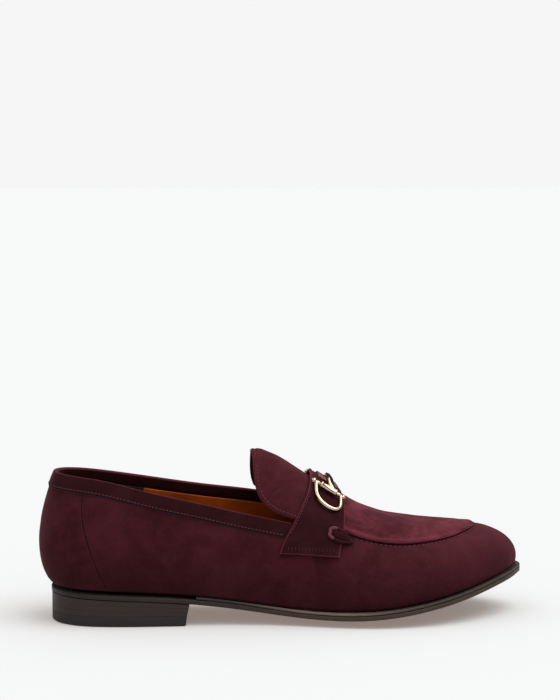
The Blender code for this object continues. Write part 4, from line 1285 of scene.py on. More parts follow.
class LOAFER_OT_strap(PieceMaker, bpy.types.Operator):
    """Makes the saddle strap with its piped edges, foot bands and stitches"""

    bl_idname = "loafer.make_strap"
    bl_label = "Saddle strap"

    def execute(self, context):
        sizes = self.sizes
        phase = shares(0.022, 26)[:, None]
        share = shares(0.048, 44, near_end=RIDGE)
        halves = []
        for side in (LATERAL, MEDIAL):
            foot = strap_foot_rise(phase)
            rise = foot + (1 - foot) * share
            halves.append((around_at(strap_x(rise, phase), side), rise))
        grid = across_ridge(*halves)
        base = strap_lift(grid[1])

        def relief(points, far):
            back = distance_from(points, borders(points, ["start"]))
            front = distance_from(points, borders(points, ["end"]))
            foot = distance_from(points, borders(points, ["low", "high"]))
            pipe = 0.00035 * hump(back, 0.0008, 0.0007) - 0.00045 * hump(back, 0.0020, 0.00045)
            crease = -0.00020 * hump(front, 0.0020, 0.0005)
            band = 0.00045 * (1 - smooth_share(foot, 0.0026, 0.0031))
            return pipe + crease + band + undulation(points, STRAP_WAVES)

        edges = ["start", "end", "low", "high"]
        high, low, far = leather(
            grid, base + STRAP_THICKNESS, base, edges, sizes.edge_radius, relief
        )
        mesh = two_sheets(high, low, {"edge": far / MM, "ground": FAR_OFF})
        piece(mesh, "strap", "shoe", "strap_suede", ["saddle_strap"])

        for side, name in SIDES:
            phase = np.linspace(0.05, 0.95, 120)
            foot = strap_foot_rise(phase)
            rise = rise_step(around_at(strap_x(foot, phase), side), foot, -FOOT_STITCH_INSET)
            lift = strap_lift(rise) + STRAP_THICKNESS
            line, outs = on_form(around_at(strap_x(rise, phase), side), rise, lift)
            stitch_row(line, outs, sizes, f"strap_foot_stitches_{name}", "shoe", sink=0.1,
                       finish="pale_thread", pitch=0.0021, length=0.0019,
                       radius=0.00038, slant=6.0)
        rise = np.linspace(0.33, 1.0, 240)
        x, lift = strap_back(rise) + EDGE_STITCH_INSET, strap_lift(rise) + STRAP_THICKNESS
        line, outs = joined(
            *(on_form(around_at(x, side), rise, lift) for side in (LATERAL, MEDIAL))
        )
        stitch_row(line, outs, sizes, "strap_edge_stitches", "shoe", sink=0.95, pitch=0.0021,
                   length=0.0014)
        return {"FINISHED"}


TIE_RISE = 0.434
TIE_LOOP = Curve(
    [(0.0392, 0.012), (0.0352, 0.031), (0.0312, 0.037), (0.0278, 0.028), (0.0266, 0.000),
     (0.0278, -0.030), (0.0312, -0.038), (0.0352, -0.030), (0.0392, -0.006)]
)
TIE_LACE = 1.05 * MM
TIE_PAD_LENGTH = 12.5 * MM
TIE_PAD_WIDTH = 6.0 * MM
TIE_EYE = (0.0392, TIE_RISE + 0.003)
EYE_REACH, EYE_RISE, EYE_ROD = 1.3 * MM, 0.020, 0.42 * MM


class LOAFER_OT_ties(PieceMaker, bpy.types.Operator):
    """Makes the suede tie on each side: a loop of lace, the pad inside it and the eye it enters"""

    bl_idname = "loafer.make_ties"
    bl_label = "Strap ties"

    def execute(self, context):
        for side, name in SIDES:
            self.loop(side, name)
            self.pad(side, name)
            self.eye(side, name)
        return {"FINISHED"}

    @staticmethod
    def ground(x, rise):
        """Height of whatever the tie lies on: the strap, then the apron's edge."""
        strap = strap_lift(rise) + STRAP_THICKNESS
        ahead = GAP * 2 + APRON_THICKNESS * 0.8
        return strap + (ahead - strap) * smooth_share(x, 0.0345, 0.0385)

    def loop(self, side, name):
        """The lace, from the eye round the back of the pad and forward again."""
        share = np.linspace(0, 1, 90)
        x, rise = TIE_LOOP(share).T
        rise = rise + TIE_RISE
        dive = 1 - smooth_share(x, 0.0365, 0.0398)
        lift = self.ground(x, rise) + 0.0009 * dive - 0.0008 * (1 - dive)
        line, outs = on_form(around_at(x, side), rise, lift)
        radius = TIE_LACE * (0.72 + 0.28 * smooth_share(0.0385 - x, 0.0, 0.008))
        sides = 14
        # Painted highlight: the lace's back end, where the stored "edge" is small, takes the pale
        # rim colour of its finish.
        back = smooth_share(x + 0.06 * np.minimum(0, TIE_RISE - rise), 0.0275, 0.0315)
        pale = np.repeat(back * 3.0, sides)
        values = {"edge": pale, "ground": np.full(len(pale), FAR_OFF)}
        mesh = swept(line, radius, sides, outs, squash=0.85, values=values)
        piece(mesh, f"tie_lace_{name}", "shoe", "tie_suede")

    def pad(self, side, name):
        """The soft fold that fills the loop."""
        along, across = shares(TIE_PAD_LENGTH, 20), shares(TIE_PAD_WIDTH, 12) * 2 - 1
        x = 0.0276 + 0.0114 * along[:, None]
        u = along[:, None] * 2 - 1
        half = 0.033 * np.clip(1 - np.abs(u) ** 3 * 0.55, 0.1, 1) * (1 - 0.25 * along[:, None])
        x, rise = np.broadcast_arrays(x, TIE_RISE + half * across[None])
        low = self.ground(x, rise)
        crown = 0.0019 * np.clip(1 - across[None] ** 2, 0, 1) ** 0.5
        crown = crown * np.clip(1 - np.abs(u) ** 4, 0.0, 1) ** 0.5
        fold = -0.00045 * hump(across[None], -0.15, 0.20) * (1 - u**2)
        places = around_at(x, side)
        points, normal = form(places, rise), outward(places, rise)
        high = points + normal * (low + 0.0002 + crown + fold)[..., None]
        base = points + normal * (low - 0.0003)[..., None]
        mesh = two_sheets(high, base, {"edge": 9.0, "ground": FAR_OFF})
        piece(mesh, f"tie_{name}", "shoe", "strap_suede", [f"strap_tie_{name}"])

    def eye(self, side, name):
        """The eye at the start of the apron's seam, and a dark plug in it painted as the shade
        inside the hole.
        """
        (eye_x, eye_rise), turn = TIE_EYE, rounds(28)
        x, rise = eye_x + EYE_REACH * np.cos(turn), eye_rise + EYE_RISE * np.sin(turn)
        line, outs = on_form(around_at(x, side), rise, GAP + APRON_THICKNESS)
        eye = swept(line, EYE_ROD, 8, outs, closed=True)
        piece(eye, f"tie_eye_{name}", "shoe", "strap_suede")
        centre, out = on_form(around_at(eye_x, side), eye_rise, GAP + APRON_THICKNESS)
        section = [
            (0.0, -0.0008), (0.0009, -0.0008), (0.0013, 0.0), (0.0009, 0.00012), (0.0, 0.00014)
        ]
        inside = lathe(section, 20)
        axis = Vector(out).to_track_quat("Z", "Y").to_matrix().to_4x4()
        axis.translation = Vector(centre)
        bmesh.ops.transform(inside, matrix=axis, verts=inside.verts)
        piece(inside, f"tie_hole_shade_{name}", "shoe", "hole_dark")


TONGUE_STITCH_INSET = 2.3 * MM
TONGUE_STITCH_START = 4.0 * MM


def tongue_outline(x, side):
    """Lowest rise of the finished tongue: fuller towards its tip than the solid's."""
    share = np.clip((x - TONGUE_TIP) / TONGUE_ROUNDING, 0.0005, 1)
    rounded = 1 - (1 - TONGUE_SIDE_RISE) * (1 - (1 - share) ** 3) ** (1 / 8)
    return np.maximum(rounded, wall_top_rise(around_at(x, side)) + TONGUE_CLEARANCE)


def tongue_swell(x, rise):
    """How far the tongue stands off the form along its middle."""
    crown = 0.0007 * smooth_share(rise, 0.55, 0.95) * (1 - smooth_share(x, -0.008, 0.012))
    tip = 1 - smooth_share(x, TONGUE_TIP - 0.003, TONGUE_TIP + 0.0075)
    return crown - 0.0034 * tip**1.5 * smooth_share(rise, 0.72, 0.98)


class LOAFER_OT_tongue(PieceMaker, bpy.types.Operator):
    """Makes the tongue, its lining and the stitches round it, on the tongue's body"""

    bl_idname = "loafer.make_tongue"
    bl_label = "Tongue"

    def execute(self, context):
        sizes = self.sizes
        phase = np.linspace(0, 1, 60) ** 1.6
        xs = TONGUE_TIP + (TONGUE_END - TONGUE_TIP) * phase

        def flap(xs, edge, outer, inner, radius, relief):
            grid = ridge_grid(xs, edge, 20)
            swell = tongue_swell(OUTLINE(grid[0])[..., 0], grid[1])
            return leather(
                grid, outer + swell, inner + swell, ["start", "low", "high"], radius, relief, 0.10
            )

        def relief(points, far):
            groove = -0.00032 * hump(far, TONGUE_STITCH_INSET, 0.0005)
            rim = 0.00022 * hump(far, 0.0010, 0.0009)
            return groove + rim + undulation(points, TONGUE_WAVES)

        high, low, far = flap(xs, tongue_outline, 0.0, WALL_IN, 0.0007, relief)
        mesh = two_sheets(high, low, {"edge": far / MM, "ground": FAR_OFF})
        piece(mesh, "tongue_flap", "tongue", "tongue_suede", ["tongue"])

        inner_xs = xs + (xs[-1] - xs) / (xs[-1] - xs[0]) * TONGUE_LINING_INSET

        def inner_edge(x, side):
            return tongue_outline(x - TONGUE_LINING_INSET, side) + 0.012

        high, low, far = flap(
            inner_xs, inner_edge, STIFFENER_OUT, STIFFENER_OUT - LINING, 0.0004, None
        )
        piece(two_sheets(high, low, {"edge": far / MM}), "tongue_underside", "tongue",
              "flap_leather", ["tongue_lining"])

        lateral, medial = (self.inset_line(side) for side in (LATERAL, MEDIAL))
        places, rises = np.concatenate([lateral, medial[::-1]]).T
        lift = tongue_swell(OUTLINE(places)[:, 0], rises) - 0.00012
        line, outs = on_form(places, rises, lift)
        stitch_row(line, outs, sizes, "tongue_stitches", "tongue", sink=0.55, pitch=0.0024,
                   length=0.0016)
        return {"FINISHED"}

    @staticmethod
    def inset_line(side):
        """Places and rises of the stitches on one side, from the tongue's root to its tip."""
        start = TONGUE_ROOT - TONGUE_STITCH_START
        xs = np.linspace(start, TONGUE_TIP + 0.0001, 900)
        places = around_at(xs, side)
        edge = form(places, tongue_outline(xs, side))
        edge = np.concatenate([edge, form(places[-1:], np.array([1.0]))])
        xs = np.linspace(start, TONGUE_TIP + TONGUE_STITCH_INSET, 160)
        places = around_at(xs, side)
        share = np.linspace(0, 1, 120)
        low = tongue_outline(xs, side)[:, None]
        rises = low + (1 - low) * share
        gaps = distance_from(form(places[:, None], rises), [edge], 0.0003)
        inside = gaps >= TONGUE_STITCH_INSET
        kept = inside.any(axis=1)
        rows = inside.argmax(axis=1)
        return np.stack([places, rises[np.arange(len(xs)), rows]], axis=1)[kept]


COLLAR_LEAF = 0.8 * MM
COLLAR_GAP = 0.1 * MM
COLLAR_BAND = COLLAR_OUTSIDE + 2.2 * MM
COLLAR_STITCH_INSET = 1.1 * MM
COLLAR_SHADOW_ROD = 0.42 * MM


class LOAFER_OT_collar(PieceMaker, bpy.types.Operator):
    """Makes the folded band round the opening, the stitches along it, and a dark rod painted as the
    shadow under it
    """

    bl_idname = "loafer.make_collar"
    bl_label = "Collar"

    def execute(self, context):
        middle = with_ends(round_heel(0.002, 190), (0.3, 0.8))
        out_low, out_high = COLLAR_GAP, COLLAR_GAP + COLLAR_LEAF
        in_high, in_low = WALL_IN - COLLAR_GAP, WALL_IN - COLLAR_GAP - COLLAR_LEAF
        centre = (out_high + in_low) / 2
        fold = -COLLAR_GAP - COLLAR_LEAF

        def leg(offset, thin, foot, puff):
            """(offset, distance down) of one leg, from its rolled foot to the fold."""
            down = foot - spaced(foot, 12, near_end=RIDGE)
            full = rolled(foot - down, COLLAR_LEAF)
            swell = puff * np.sin(np.pi * np.clip(down / foot, 0, 1)) ** 0.8
            return [(thin + (offset - thin) * f + s, d) for f, s, d in zip(full, swell, down)]

        def section(outer, inner, thinning, puff, top):
            """(offset, distance down) over the top line, from the outer foot to the inner one."""
            half = (outer - inner) / 2
            bow = np.linspace(0, np.pi, 13)[1:-1]
            over = [(centre + half * np.cos(a), top * np.sin(a)) for a in bow]
            outside = leg(outer, out_low + thinning, COLLAR_BAND, puff)
            inside = leg(inner, in_high - thinning, COLLAR_INSIDE, -puff)
            return outside + over + inside[::-1]

        shown = section(out_high, in_low, 0.0002, 0.00008, fold)
        hidden = section(out_low, in_high, 0.0, 0.0, -COLLAR_GAP)

        def line_at(down, share):
            """Places along the opening at a distance below the top line, and their top rises."""
            ends = []
            for side in (MEDIAL, LATERAL):
                here = around_at(0.004, side)
                rise = rise_step(here, top_line_rise(here), down)
                ends.append(around_at(strap_back(rise) - 0.0008, side))
            places = ends[0] + (1 + ends[1] - ends[0]) * share
            return places, top_line_rise(places)

        def sheet(points):
            share = (middle - middle[0]) / (middle[-1] - middle[0])
            rows = []
            for offset, down in points:
                places, top = line_at(down, share)
                normal = outward(places, top - 0.01)
                rows.append(form(places, rise_step(places, top, down)) + normal * offset)
            return np.stack(rows, axis=1)

        far = np.array([abs(down - fold) for _, down in shown]) / MM
        mesh = two_sheets(sheet(shown), sheet(hidden), {"edge": far, "ground": FAR_OFF})
        piece(mesh, "collar", "shoe", "collar_suede", ["collar_band"])

        places, top = line_at(0.005, np.linspace(0.004, 0.996, 1400))
        normal = outward(places, top - 0.01)

        def run_at(down, offset):
            return form(places, rise_step(places, top, down)) + normal * offset

        # A dark rod along the band's lower edge, painted as the shadow under the band.
        seam = swept(run_at(COLLAR_BAND + 0.0001, 0.0001), COLLAR_SHADOW_ROD, 8, normal)
        piece(seam, "collar_shadow_line", "shoe", "hole_dark")
        line = run_at(COLLAR_BAND - COLLAR_STITCH_INSET, out_high + 0.00006)
        stitch_row(line, normal, self.sizes, "collar_stitches", "shoe", sink=0.75, pitch=0.0022,
                   length=0.0014, radius=0.00020)
        return {"FINISHED"}


LINING_BACK = 0.0205
LINING_JOINT = -0.0850
LINING_LOW = 0.02


class LOAFER_OT_linings(PieceMaker, bpy.types.Operator):
    """Makes the linings, the heel grip and the sock"""

    bl_idname = "loafer.make_linings"
    bl_label = "Linings and sock"

    def execute(self, context):
        xs = LINING_BACK + (TOE_END - LINING_BACK) * np.sin(np.pi / 2 * np.linspace(0, 1, 60))
        grid = ridge_grid(xs, lambda x, side: LINING_LOW, 22)
        self.lining(grid, ["start"], "vamp_inner", "lining_leather", "tan_leather", "vamp_lining",
                    True)

        quarter = np.linspace(LINING_JOINT + GAP, LINING_BACK - 0.001, 50)
        backs = [
            (np.sort(around_at(quarter, side)), f"quarter_inner_{name}", "lining_leather",
             "tan_leather", f"quarter_lining_{name}")
            for side, name in SIDES
        ]
        heel = round_heel(LINING_JOINT, 80)
        backs.append((heel, "heel_inner", "dark_lining", "dark_leather", "heel_grip"))
        for places, *labels in backs:
            places = with_ends(places)
            top = rise_step(places, top_line_rise(places), COLLAR_INSIDE + GAP + 0.0002)
            rise = climb(places, LINING_LOW, top, 22)
            grid = np.broadcast_to(places[:, None], rise.shape), rise
            self.lining(grid, ["start", "end", "high"], *labels)

        plan = bottom_grid(lambda x: LINING_IN - 0.0008 + 0 * x, TOE_END, 90, shares(0.07, 26))
        pad_low = INSOLE + BOTTOM_GAP + 0.0002
        ahead = smooth_share(plan[..., 0], -0.068, -0.046)
        lift = pad_low + (HEEL_PAD + BOTTOM_GAP) * (1 - ahead)
        high, low = raised(plan, lift + SOCK), raised(plan, lift)
        far = distance_from(high, borders(high, ["low", "high"]))
        high[..., 2] -= 0.0004 * (1 - rolled(far, 0.0008))
        piece(two_sheets(high, low, {"edge": far / MM}), "sock", "shoe", "sock_leather",
              ["sock_lining"])
        return {"FINISHED"}

    def lining(self, grid, edges, name, finish, slot, node, folded=False):
        """One lining leather, with slight creases."""
        high, low, far = leather(grid, LINING_OUT, LINING_IN, edges, 0.0005)
        piece(two_sheets(high, low, {"edge": far / MM, "ground": FAR_OFF}, folded=folded), name,
              "shoe", finish, [node])


class LOAFER_OT_sole(PieceMaker, bpy.types.Operator):
    """Makes the outsole with its stitched channel, and the welt"""

    bl_idname = "loafer.make_sole"
    bl_label = "Outsole and welt"

    def execute(self, context):
        plan = bottom_grid(sole_margin, TOE_END, 170, shares(0.085, 30))
        top, under = raised(plan, OUTSOLE_TOP), raised(plan, OUTSOLE_BOTTOM)
        far = distance_from(top, borders(top, ["low", "high"]))
        channel = 0.00028 * hump(far, 0.0058, 0.0006) * smooth_share(plan[..., 0], -0.052, -0.046)
        top[..., 2] -= 0.0005 * (1 - rolled(far, 0.0006))
        under[..., 2] += 0.0007 * (1 - rolled(far, 0.0010)) + channel
        under[..., 2] = np.maximum(under[..., 2], 0.0)
        front = smooth_share(plan[..., 0], -0.045, 0.010)
        mesh = two_sheets(top, under, {"edge": far / MM, "front": 0.75 * front})
        piece(mesh, "outsole_leather", "shoe", "sole_edge", ["outsole"])

        places = round_toe(HEEL_BREAST + 0.004, 300)
        foot, out = outline_frame(places)
        inset = spaced(WELT_WIDTH, 8)
        margin = sole_margin(foot[:, 0])
        plan = np.stack([foot + out * (margin - step)[:, None] for step in inset], 1)
        top, under = raised(plan, WELT_TOP), raised(plan, WELT_BOTTOM)
        far = np.broadcast_to(inset, top.shape[:2])
        rounding = 1 - rolled(far, 0.0007)
        top[..., 2] -= 0.00055 * rounding
        under[..., 2] += 0.00035 * rounding
        front = smooth_share(plan[..., 0], -0.035, 0.010)
        # Painted shade: the welt turns back to the darker stain towards the toe, where the upper
        # overhangs it.
        front = front * (1 - 0.85 * smooth_share(plan[..., 0], 0.030, 0.085))
        mesh = two_sheets(top, under, {"edge": far / MM, "front": front})
        piece(mesh, "welt_strip", "shoe", "welt_leather", ["welt"])
        return {"FINISHED"}


# The heel's slant carried down to the ground, where shares run from 0 above the top piece.
GROUND_SHARE = -0.43


class LOAFER_OT_heel(PieceMaker, bpy.types.Operator):
    """Makes the heel's lifts, the rubber top piece and its nails"""

    bl_idname = "loafer.make_heel"
    bl_label = "Heel"

    def execute(self, context):
        rows = shares(0.062, 20)

        def plan_at(share):
            front = HEEL_BREAST - HEEL_BREAST_SLANT * (1 - (0.3 + 0.7 * share))
            grow = HEEL_EDGE - 0.0003
            return bottom_grid(lambda x: grow + 0 * x, front, 64, rows, closed_end=False)

        def block(low, high, z_low, z_high, rounding, *labels):
            """One layer between two plans at their heights, its lower edge rounded."""
            foot = np.concatenate([low, np.broadcast_to(z_low, low.shape[:2])[..., None]], -1)
            head = np.concatenate([high, np.broadcast_to(z_high, high.shape[:2])[..., None]], -1)
            far = distance_from(foot, borders(foot, ["low", "high", "end"]))
            radius, rise = rounding
            soft = 1 - rolled(far, radius)
            foot[..., 2] += rise * soft
            head[..., 2] -= 0.00004 * soft
            name, finish, slot, node = labels
            piece(two_sheets(head, foot, {"edge": far / MM}), name, "shoe", finish, [node])

        block(plan_at(GROUND_SHARE), plan_at(0.0), 0.0, TOP_PIECE - 0.00005, (0.0014, 0.0011),
              "top_piece", "rubber", "black_rubber", "heel_top_piece")
        for i in range(LIFTS):
            bottom, top = i / LIFTS, (i + 1) / LIFTS
            low, high = plan_at(bottom), plan_at(top)
            gap = 0.00003 * (i + 1 < LIFTS)
            block(low, high, heel_level(low, bottom), heel_level(high, top) - gap,
                  (0.0004, 0.00005), f"lift_{i + 1}", "heel_stack", "dark_leather",
                  f"heel_lift_{i + 1}")
        for i in range(NAILS):
            low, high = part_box(f"heel_nail_{i + 1}")
            middle = (low + high) / 2
            radius = NAIL_HEAD_RADIUS
            profile = [
                (0.0, 0.0002), (radius * 0.7, 0.00025), (radius * 0.92, 0.0004),
                (radius, 0.0007), (radius, 0.0013), (NAIL_RADIUS, 0.0015),
                (NAIL_RADIUS, high.z - 0.0005), (0.0, high.z),
            ]
            nail = lathe(profile, 24)
            bmesh.ops.translate(nail, vec=(middle.x, middle.y, 0.0), verts=nail.verts)
            piece(nail, f"nail_{i + 1}", "shoe", "brass", [f"heel_nail_{i + 1}"])
        return {"FINISHED"}


RING_BOW_SHARE = 0.88
KEEPER_LOW, KEEPER_HIGH = 0.880, 0.960


def bar_axes(middle, forward, down):
    """The transform that lays +Z along a ring's bar."""
    turn = Matrix((np.cross(down, forward), down, forward)).transposed().to_4x4()
    turn.translation = Vector(middle)
    return turn


class LOAFER_OT_snaffle(PieceMaker, bpy.types.Operator):
    """Makes the two D rings, the mouthpiece with its sleeves, and the leather keepers"""

    bl_idname = "loafer.make_snaffle"
    bl_label = "Snaffle"

    def execute(self, context):
        for side, name in SIDES:
            self.ring(side, name)
        self.mouthpiece()
        for side, name in SIDES:
            self.keeper(side, name)
        return {"FINISHED"}

    def ring(self, side, name):
        """A bar with ball ends, and the bow that closes the D."""
        middle, forward, down = strap_frame(side)
        body = f"snaffle_ring_{name}"
        middle = middle + forward * RING_SLIDE
        half, ball = RING_BAR_LENGTH / 2, RING_BALL
        angle = np.linspace(0, np.pi * 0.80, 12)
        low = [(ball * np.sin(a), -half - ball * np.cos(a)) for a in angle]
        low += [(RING_WIRE * 0.80, -half + ball * 1.15), (RING_WIRE * 1.12, -half + ball * 1.5),
                (RING_WIRE * 1.12, -half + ball * 2.0), (RING_WIRE * 0.92, -half + ball * 2.3)]
        profile = low + [(r, -z) for r, z in low[::-1]]
        profile[0] = (0.0, profile[0][1])
        profile[-1] = (0.0, profile[-1][1])
        bar = lathe(profile, 32)
        bmesh.ops.transform(bar, matrix=bar_axes(middle, forward, down), verts=bar.verts)
        piece(bar, f"ring_bar_{name}", body, "pale_gold", [body], sharp=60)

        lean = Matrix.Rotation(np.radians(RING_LEAN) * side, 3, Vector(forward))
        axes = lean @ Matrix((forward, np.cross(forward, down), down)).transposed()
        reach = RING_BAR_LENGTH / 2 - RING_BALL
        angle = np.linspace(0, np.pi, 90)
        sag = np.sin(angle) ** 0.45
        across = RING_SKEW * sag - reach * np.cos(angle)
        bow = np.stack([across, 0 * angle, RING_BOW_SHARE * RING_BOW_DEPTH * sag], axis=1)
        bow = densified(bow, 0.0004)
        path = bow @ np.array(axes).T + middle
        flat = np.array(axes)[:, 1]
        swell = RING_WIRE * (1.0 + 0.10 * np.sin(np.pi * np.linspace(0, 1, len(path))) ** 2)
        mesh = swept(path, swell, 20, flat)
        piece(mesh, f"ring_bow_{name}", body, "pale_gold", sharp=60)

    def mouthpiece(self):
        """The flat arched link, and the sleeve round each ring's bar."""
        ends = {side: strap_frame(side) for side in (LATERAL, MEDIAL)}
        rise = np.linspace(SNAFFLE_RISE, 1.0, 40)
        lift = strap_lift(rise) + STRAP_THICKNESS + SNAFFLE_HEIGHT
        path, outs = joined(
            *(on_form(around_at(SNAFFLE_PLACE, side), rise, lift) for side in (LATERAL, MEDIAL))
        )
        for _ in range(12):
            path[1:-1] = (path[:-2] + 2 * path[1:-1] + path[2:]) / 4
            outs[1:-1] = (outs[:-2] + 2 * outs[1:-1] + outs[2:]) / 4
        run = np.linspace(-1, 1, len(path))
        half_width = MOUTHPIECE_WIDTH / 2 * (0.80 + 0.24 * np.abs(run) ** 2.0)
        half_width = half_width * (1 - 0.22 * hump(run, 0.0, 0.055))
        half_thick = MOUTHPIECE_THICKNESS / 2 * (0.92 + 0.22 * hump(run, 0.0, 0.04))
        forward = ends[LATERAL][1] + ends[MEDIAL][1]
        along = unit(np.gradient(path, axis=0))
        outs = unit(outs - along * (outs * along).sum(axis=1, keepdims=True))
        across = np.cross(along, outs)
        across *= np.sign((across * forward).sum(axis=1, keepdims=True))
        angle = rounds(28)
        wide = np.sign(np.cos(angle)) * np.abs(np.cos(angle)) ** 0.42
        tall = np.sign(np.sin(angle)) * np.abs(np.sin(angle)) ** 0.75
        rings = (
            path[:, None]
            + across[:, None] * (half_width[:, None] * wide)[..., None]
            + outs[:, None] * (half_thick[:, None] * tall)[..., None]
        )
        mesh = mesh_of("link", rings.reshape(-1, 3), tube_faces(*rings.shape[:2]))
        piece(mesh, "snaffle_link", "shoe", "pale_gold", ["mouthpiece"], 60)

        bore, half = RING_WIRE + EYE_CLEARANCE, EYE_WIDTH / 2
        wall = bore + EYE_WALL
        section = [
            (bore, -half), (wall - 0.0002, -half), (wall + 0.00012, -half + 0.00025),
            (wall + 0.00016, -half + 0.0007), (wall + 0.00005, -half + 0.0011),
            (wall - 0.00012, -half + 0.0014), (wall - 0.00008, 0.0),
        ]
        section += [(r, -z) for r, z in section[-2::-1]]
        turns = rounds(36)
        points = [(r * np.cos(a), r * np.sin(a), z) for a in turns for r, z in section]
        for side, name in SIDES:
            middle, forward, down = ends[side]
            mesh = mesh_of("sleeve", points, tube_faces(len(turns), len(section), closed=True))
            mesh.transform(bar_axes(middle + forward * RING_SLIDE, forward, down))
            piece(mesh, f"snaffle_sleeve_{name}", "shoe", "pale_gold", sharp=60)

    def keeper(self, side, name):
        """A leather pad on the strap, under the link."""
        xs = SNAFFLE_PLACE + (shares(KEEPER_LENGTH, 16) - 0.5) * KEEPER_LENGTH
        rise = KEEPER_LOW + (KEEPER_HIGH - KEEPER_LOW) * shares(0.0056, 10)
        grid = np.broadcast_arrays(around_at(xs, side)[:, None], rise[None])
        base = strap_lift(grid[1]) + STRAP_THICKNESS + GAP * 0.3

        def relief(points, far):
            return 0.00012 * hump(far, 0.0008, 0.0006)

        high, low, far = leather(grid, base + KEEPER_THICKNESS + 0.0002, base,
                                 ["start", "end", "low", "high"], 0.0006, relief)
        piece(two_sheets(high, low, {"edge": far / MM}), f"keeper_pad_{name}", "shoe",
              "trim_leather", [f"keeper_{name}"])


HIDDEN_FINISHES = {
    "toe_puff": "board", "heel_counter": "board", "cork_filler": "cork", "shank": "steel",
    "insole": "insole_leather", "heel_pad": "foam",
}


class LOAFER_OT_inner_solids(PieceMaker, bpy.types.Operator):
    """Gives the solids inside the shoe their finishes"""

    bl_idname = "loafer.finish_inner_solids"
    bl_label = "Solids inside the shoe"

    def execute(self, context):
        for node, finish in HIDDEN_FINISHES.items():
            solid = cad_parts[node]
            if not solid.material_slots:
                solid.data.materials.append(finish_named(finish))
            for slot in solid.material_slots:
                slot.material = finish_named(finish)
        return {"FINISHED"}


FLOOR_HALF = 14.0
FLOOR_GLOW = (0.250, 0.200, 0.175)
# What the camera sees behind the floor.
BACKDROP = 0.922
# Lamps: name, degrees of tilt, roll and turn, strength, and width in degrees.
LAMPS = (("key", (24, 0, 62), 1.90, 45), ("fill", (55, 0, 30), 0.22, 60))
CAMERA_TURN = -5.0
CAMERA_DISTANCE, CAMERA_HEIGHT = 1.30, 0.2876
CAMERA_AIM = (-0.0015, 0.0, 0.1640)
# The width that the frame shows at the shoe's middle, and the frame's width over its height.
SHOE_MIDDLE = (0, 0, 0.05)
SHOWN_WIDTH = 0.3476
FRAME_SHAPE = 0.8
SENSOR = 36.0
# Brightness of the sky from straight below, at 0, to straight above, at 1.
SOFT_SKY = ((0.0, 0.30), (0.25, 0.34), (0.55, 0.85), (0.80, 1.45), (1.0, 1.60))
MIRROR_SKY = (
    (0.0, 0.05), (0.34, 0.03), (0.52, 0.05), (0.59, 3.8), (0.70, 3.4), (0.78, 0.08), (1.0, 0.30),
)


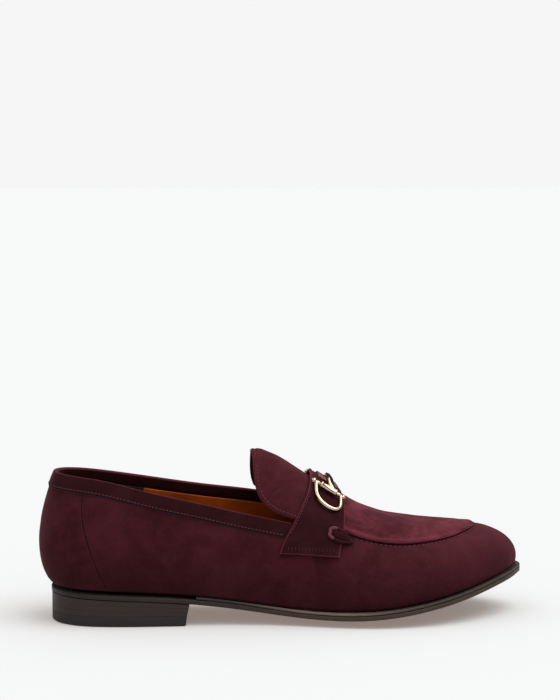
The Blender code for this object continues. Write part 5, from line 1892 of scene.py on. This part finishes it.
class LOAFER_OT_stage(PieceMaker, bpy.types.Operator):
    """Makes the pale floor, the soft lights and the camera"""

    bl_idname = "loafer.make_stage"
    bl_label = "Stage"

    def execute(self, context):
        far = FLOOR_HALF
        corners = [(-far, -far, 0), (far, -far, 0), (far, far, 0), (-far, far, 0)]
        floor = mesh_of("floor", corners, [(0, 1, 2, 3)])
        surface = Finish("studio_floor")
        tone = tuple(self.colours.floor)
        drift = surface.noise(0.9, 2.0, 0.5)
        shown = surface.mix(drift, cast(tone, 0.995), cast(tone, 1.005))
        floor.materials.append(
            surface.set(
                Base_Color=shown, Roughness=0.95, Specular_IOR_Level=0.0,
                Emission_Color=FLOOR_GLOW, Emission_Strength=1.0,
            )
        )
        placed("studio_floor", floor)
        self.world()
        for lamp in LAMPS:
            self.sun(*lamp)
        self.camera()
        bpy.context.scene.view_settings.view_transform = "Standard"
        return {"FINISHED"}

    def world(self):
        """White to the camera, a soft studio to the leather, and lamps in the dark to the metal."""
        world = bpy.data.worlds.new("studio")
        bpy.context.scene.world = world
        world.use_nodes = True
        tree = world.node_tree
        tree.nodes.clear()

        def added(kind, *links):
            made = tree.nodes.new(kind)
            for socket, source in links:
                tree.links.new(source, made.inputs[socket])
            return made

        def background(colour):
            made = added("ShaderNodeBackground")
            if isinstance(colour, float):
                made.inputs[0].default_value = (colour, colour, colour, 1)
            else:
                tree.links.new(colour, made.inputs[0])
            return made.outputs[0]

        def by_height(stops):
            ramp = added("ShaderNodeValToRGB", (0, parts.outputs["Z"]))
            set_stops(ramp.color_ramp, stops)
            return ramp.outputs[0]

        place = added("ShaderNodeTexCoord")
        parts = added("ShaderNodeSeparateXYZ", (0, place.outputs["Generated"]))
        path = added("ShaderNodeLightPath")
        soft = background(by_height(SOFT_SKY))
        glossy = background(by_height(MIRROR_SKY))
        lit = added(
            "ShaderNodeMixShader", (0, path.outputs["Is Glossy Ray"]), (1, soft), (2, glossy)
        )
        shown = added(
            "ShaderNodeMixShader", (0, path.outputs["Is Camera Ray"]), (1, lit.outputs[0]),
            (2, background(BACKDROP)),
        )
        added("ShaderNodeOutputWorld", (0, shown.outputs[0]))

    def sun(self, name, angles, strength, softness):
        """A broad soft light from far away: tilt from above, roll, and turn about the shoe."""
        lamp = bpy.data.lights.new(name, "SUN")
        lamp.energy = strength
        lamp.angle = np.radians(softness)
        placed(name, lamp).rotation_euler = [np.radians(a) for a in angles]

    def camera(self):
        """The camera looks at the outer side, a little from behind and above."""
        turn = np.radians(CAMERA_TURN)
        side, back = np.sin(turn) * CAMERA_DISTANCE, -np.cos(turn) * CAMERA_DISTANCE
        place = Vector((side, back, CAMERA_HEIGHT))
        camera = bpy.data.cameras.new("camera")
        camera.sensor_width = SENSOR
        camera.lens = (Vector(SHOE_MIDDLE) - place).length / SHOWN_WIDTH * SENSOR * FRAME_SHAPE
        camera.clip_start, camera.clip_end = 0.05, 100.0
        made = placed("camera", camera)
        made.location = place
        made.rotation_mode = "QUATERNION"
        made.rotation_quaternion = (Vector(CAMERA_AIM) - place).to_track_quat("-Z", "Y")
        bpy.context.scene.camera = made


OPERATORS = (
    LOAFER_OT_finishes, LOAFER_OT_sole, LOAFER_OT_heel, LOAFER_OT_linings, LOAFER_OT_side_wall,
    LOAFER_OT_collar, LOAFER_OT_apron, LOAFER_OT_tongue, LOAFER_OT_strap, LOAFER_OT_ties,
    LOAFER_OT_snaffle, LOAFER_OT_inner_solids, LOAFER_OT_stage,
)


class LOAFER_PT_panel(bpy.types.Panel):
    """Lists the loafer's sizes, colours and pieces"""

    bl_idname = "LOAFER_PT_panel"
    bl_label = "Snaffle loafer"
    bl_space_type = "VIEW_3D"
    bl_region_type = "UI"
    bl_category = "Loafer"

    def draw(self, context):
        layout = self.layout
        for group in (context.scene.loafer_sizes, context.scene.loafer_colours):
            box = layout.box()
            for name in group.__annotations__:
                box.prop(group, name)
        for operator in OPERATORS:
            layout.operator(operator.bl_idname)


CLASSES = (LoaferSizes, LoaferColours, *OPERATORS, LOAFER_PT_panel)


def register():
    for item in CLASSES:
        bpy.utils.register_class(item)
    bpy.types.Scene.loafer_sizes = PointerProperty(type=LoaferSizes)
    bpy.types.Scene.loafer_colours = PointerProperty(type=LoaferColours)


def unregister():
    del bpy.types.Scene.loafer_colours
    del bpy.types.Scene.loafer_sizes
    for item in reversed(CLASSES):
        bpy.utils.unregister_class(item)


def run(operator):
    """Calls one operator through bpy.ops, and stops if it doesn't finish."""
    family, name = operator.bl_idname.split(".")
    if getattr(getattr(bpy.ops, family), name)() != {"FINISHED"}:
        raise RuntimeError(f"{operator.bl_label} didn't finish")


def main():
    """Makes every piece."""
    register()
    for operator in OPERATORS:
        run(operator)


if __name__ == "__main__":
    main()
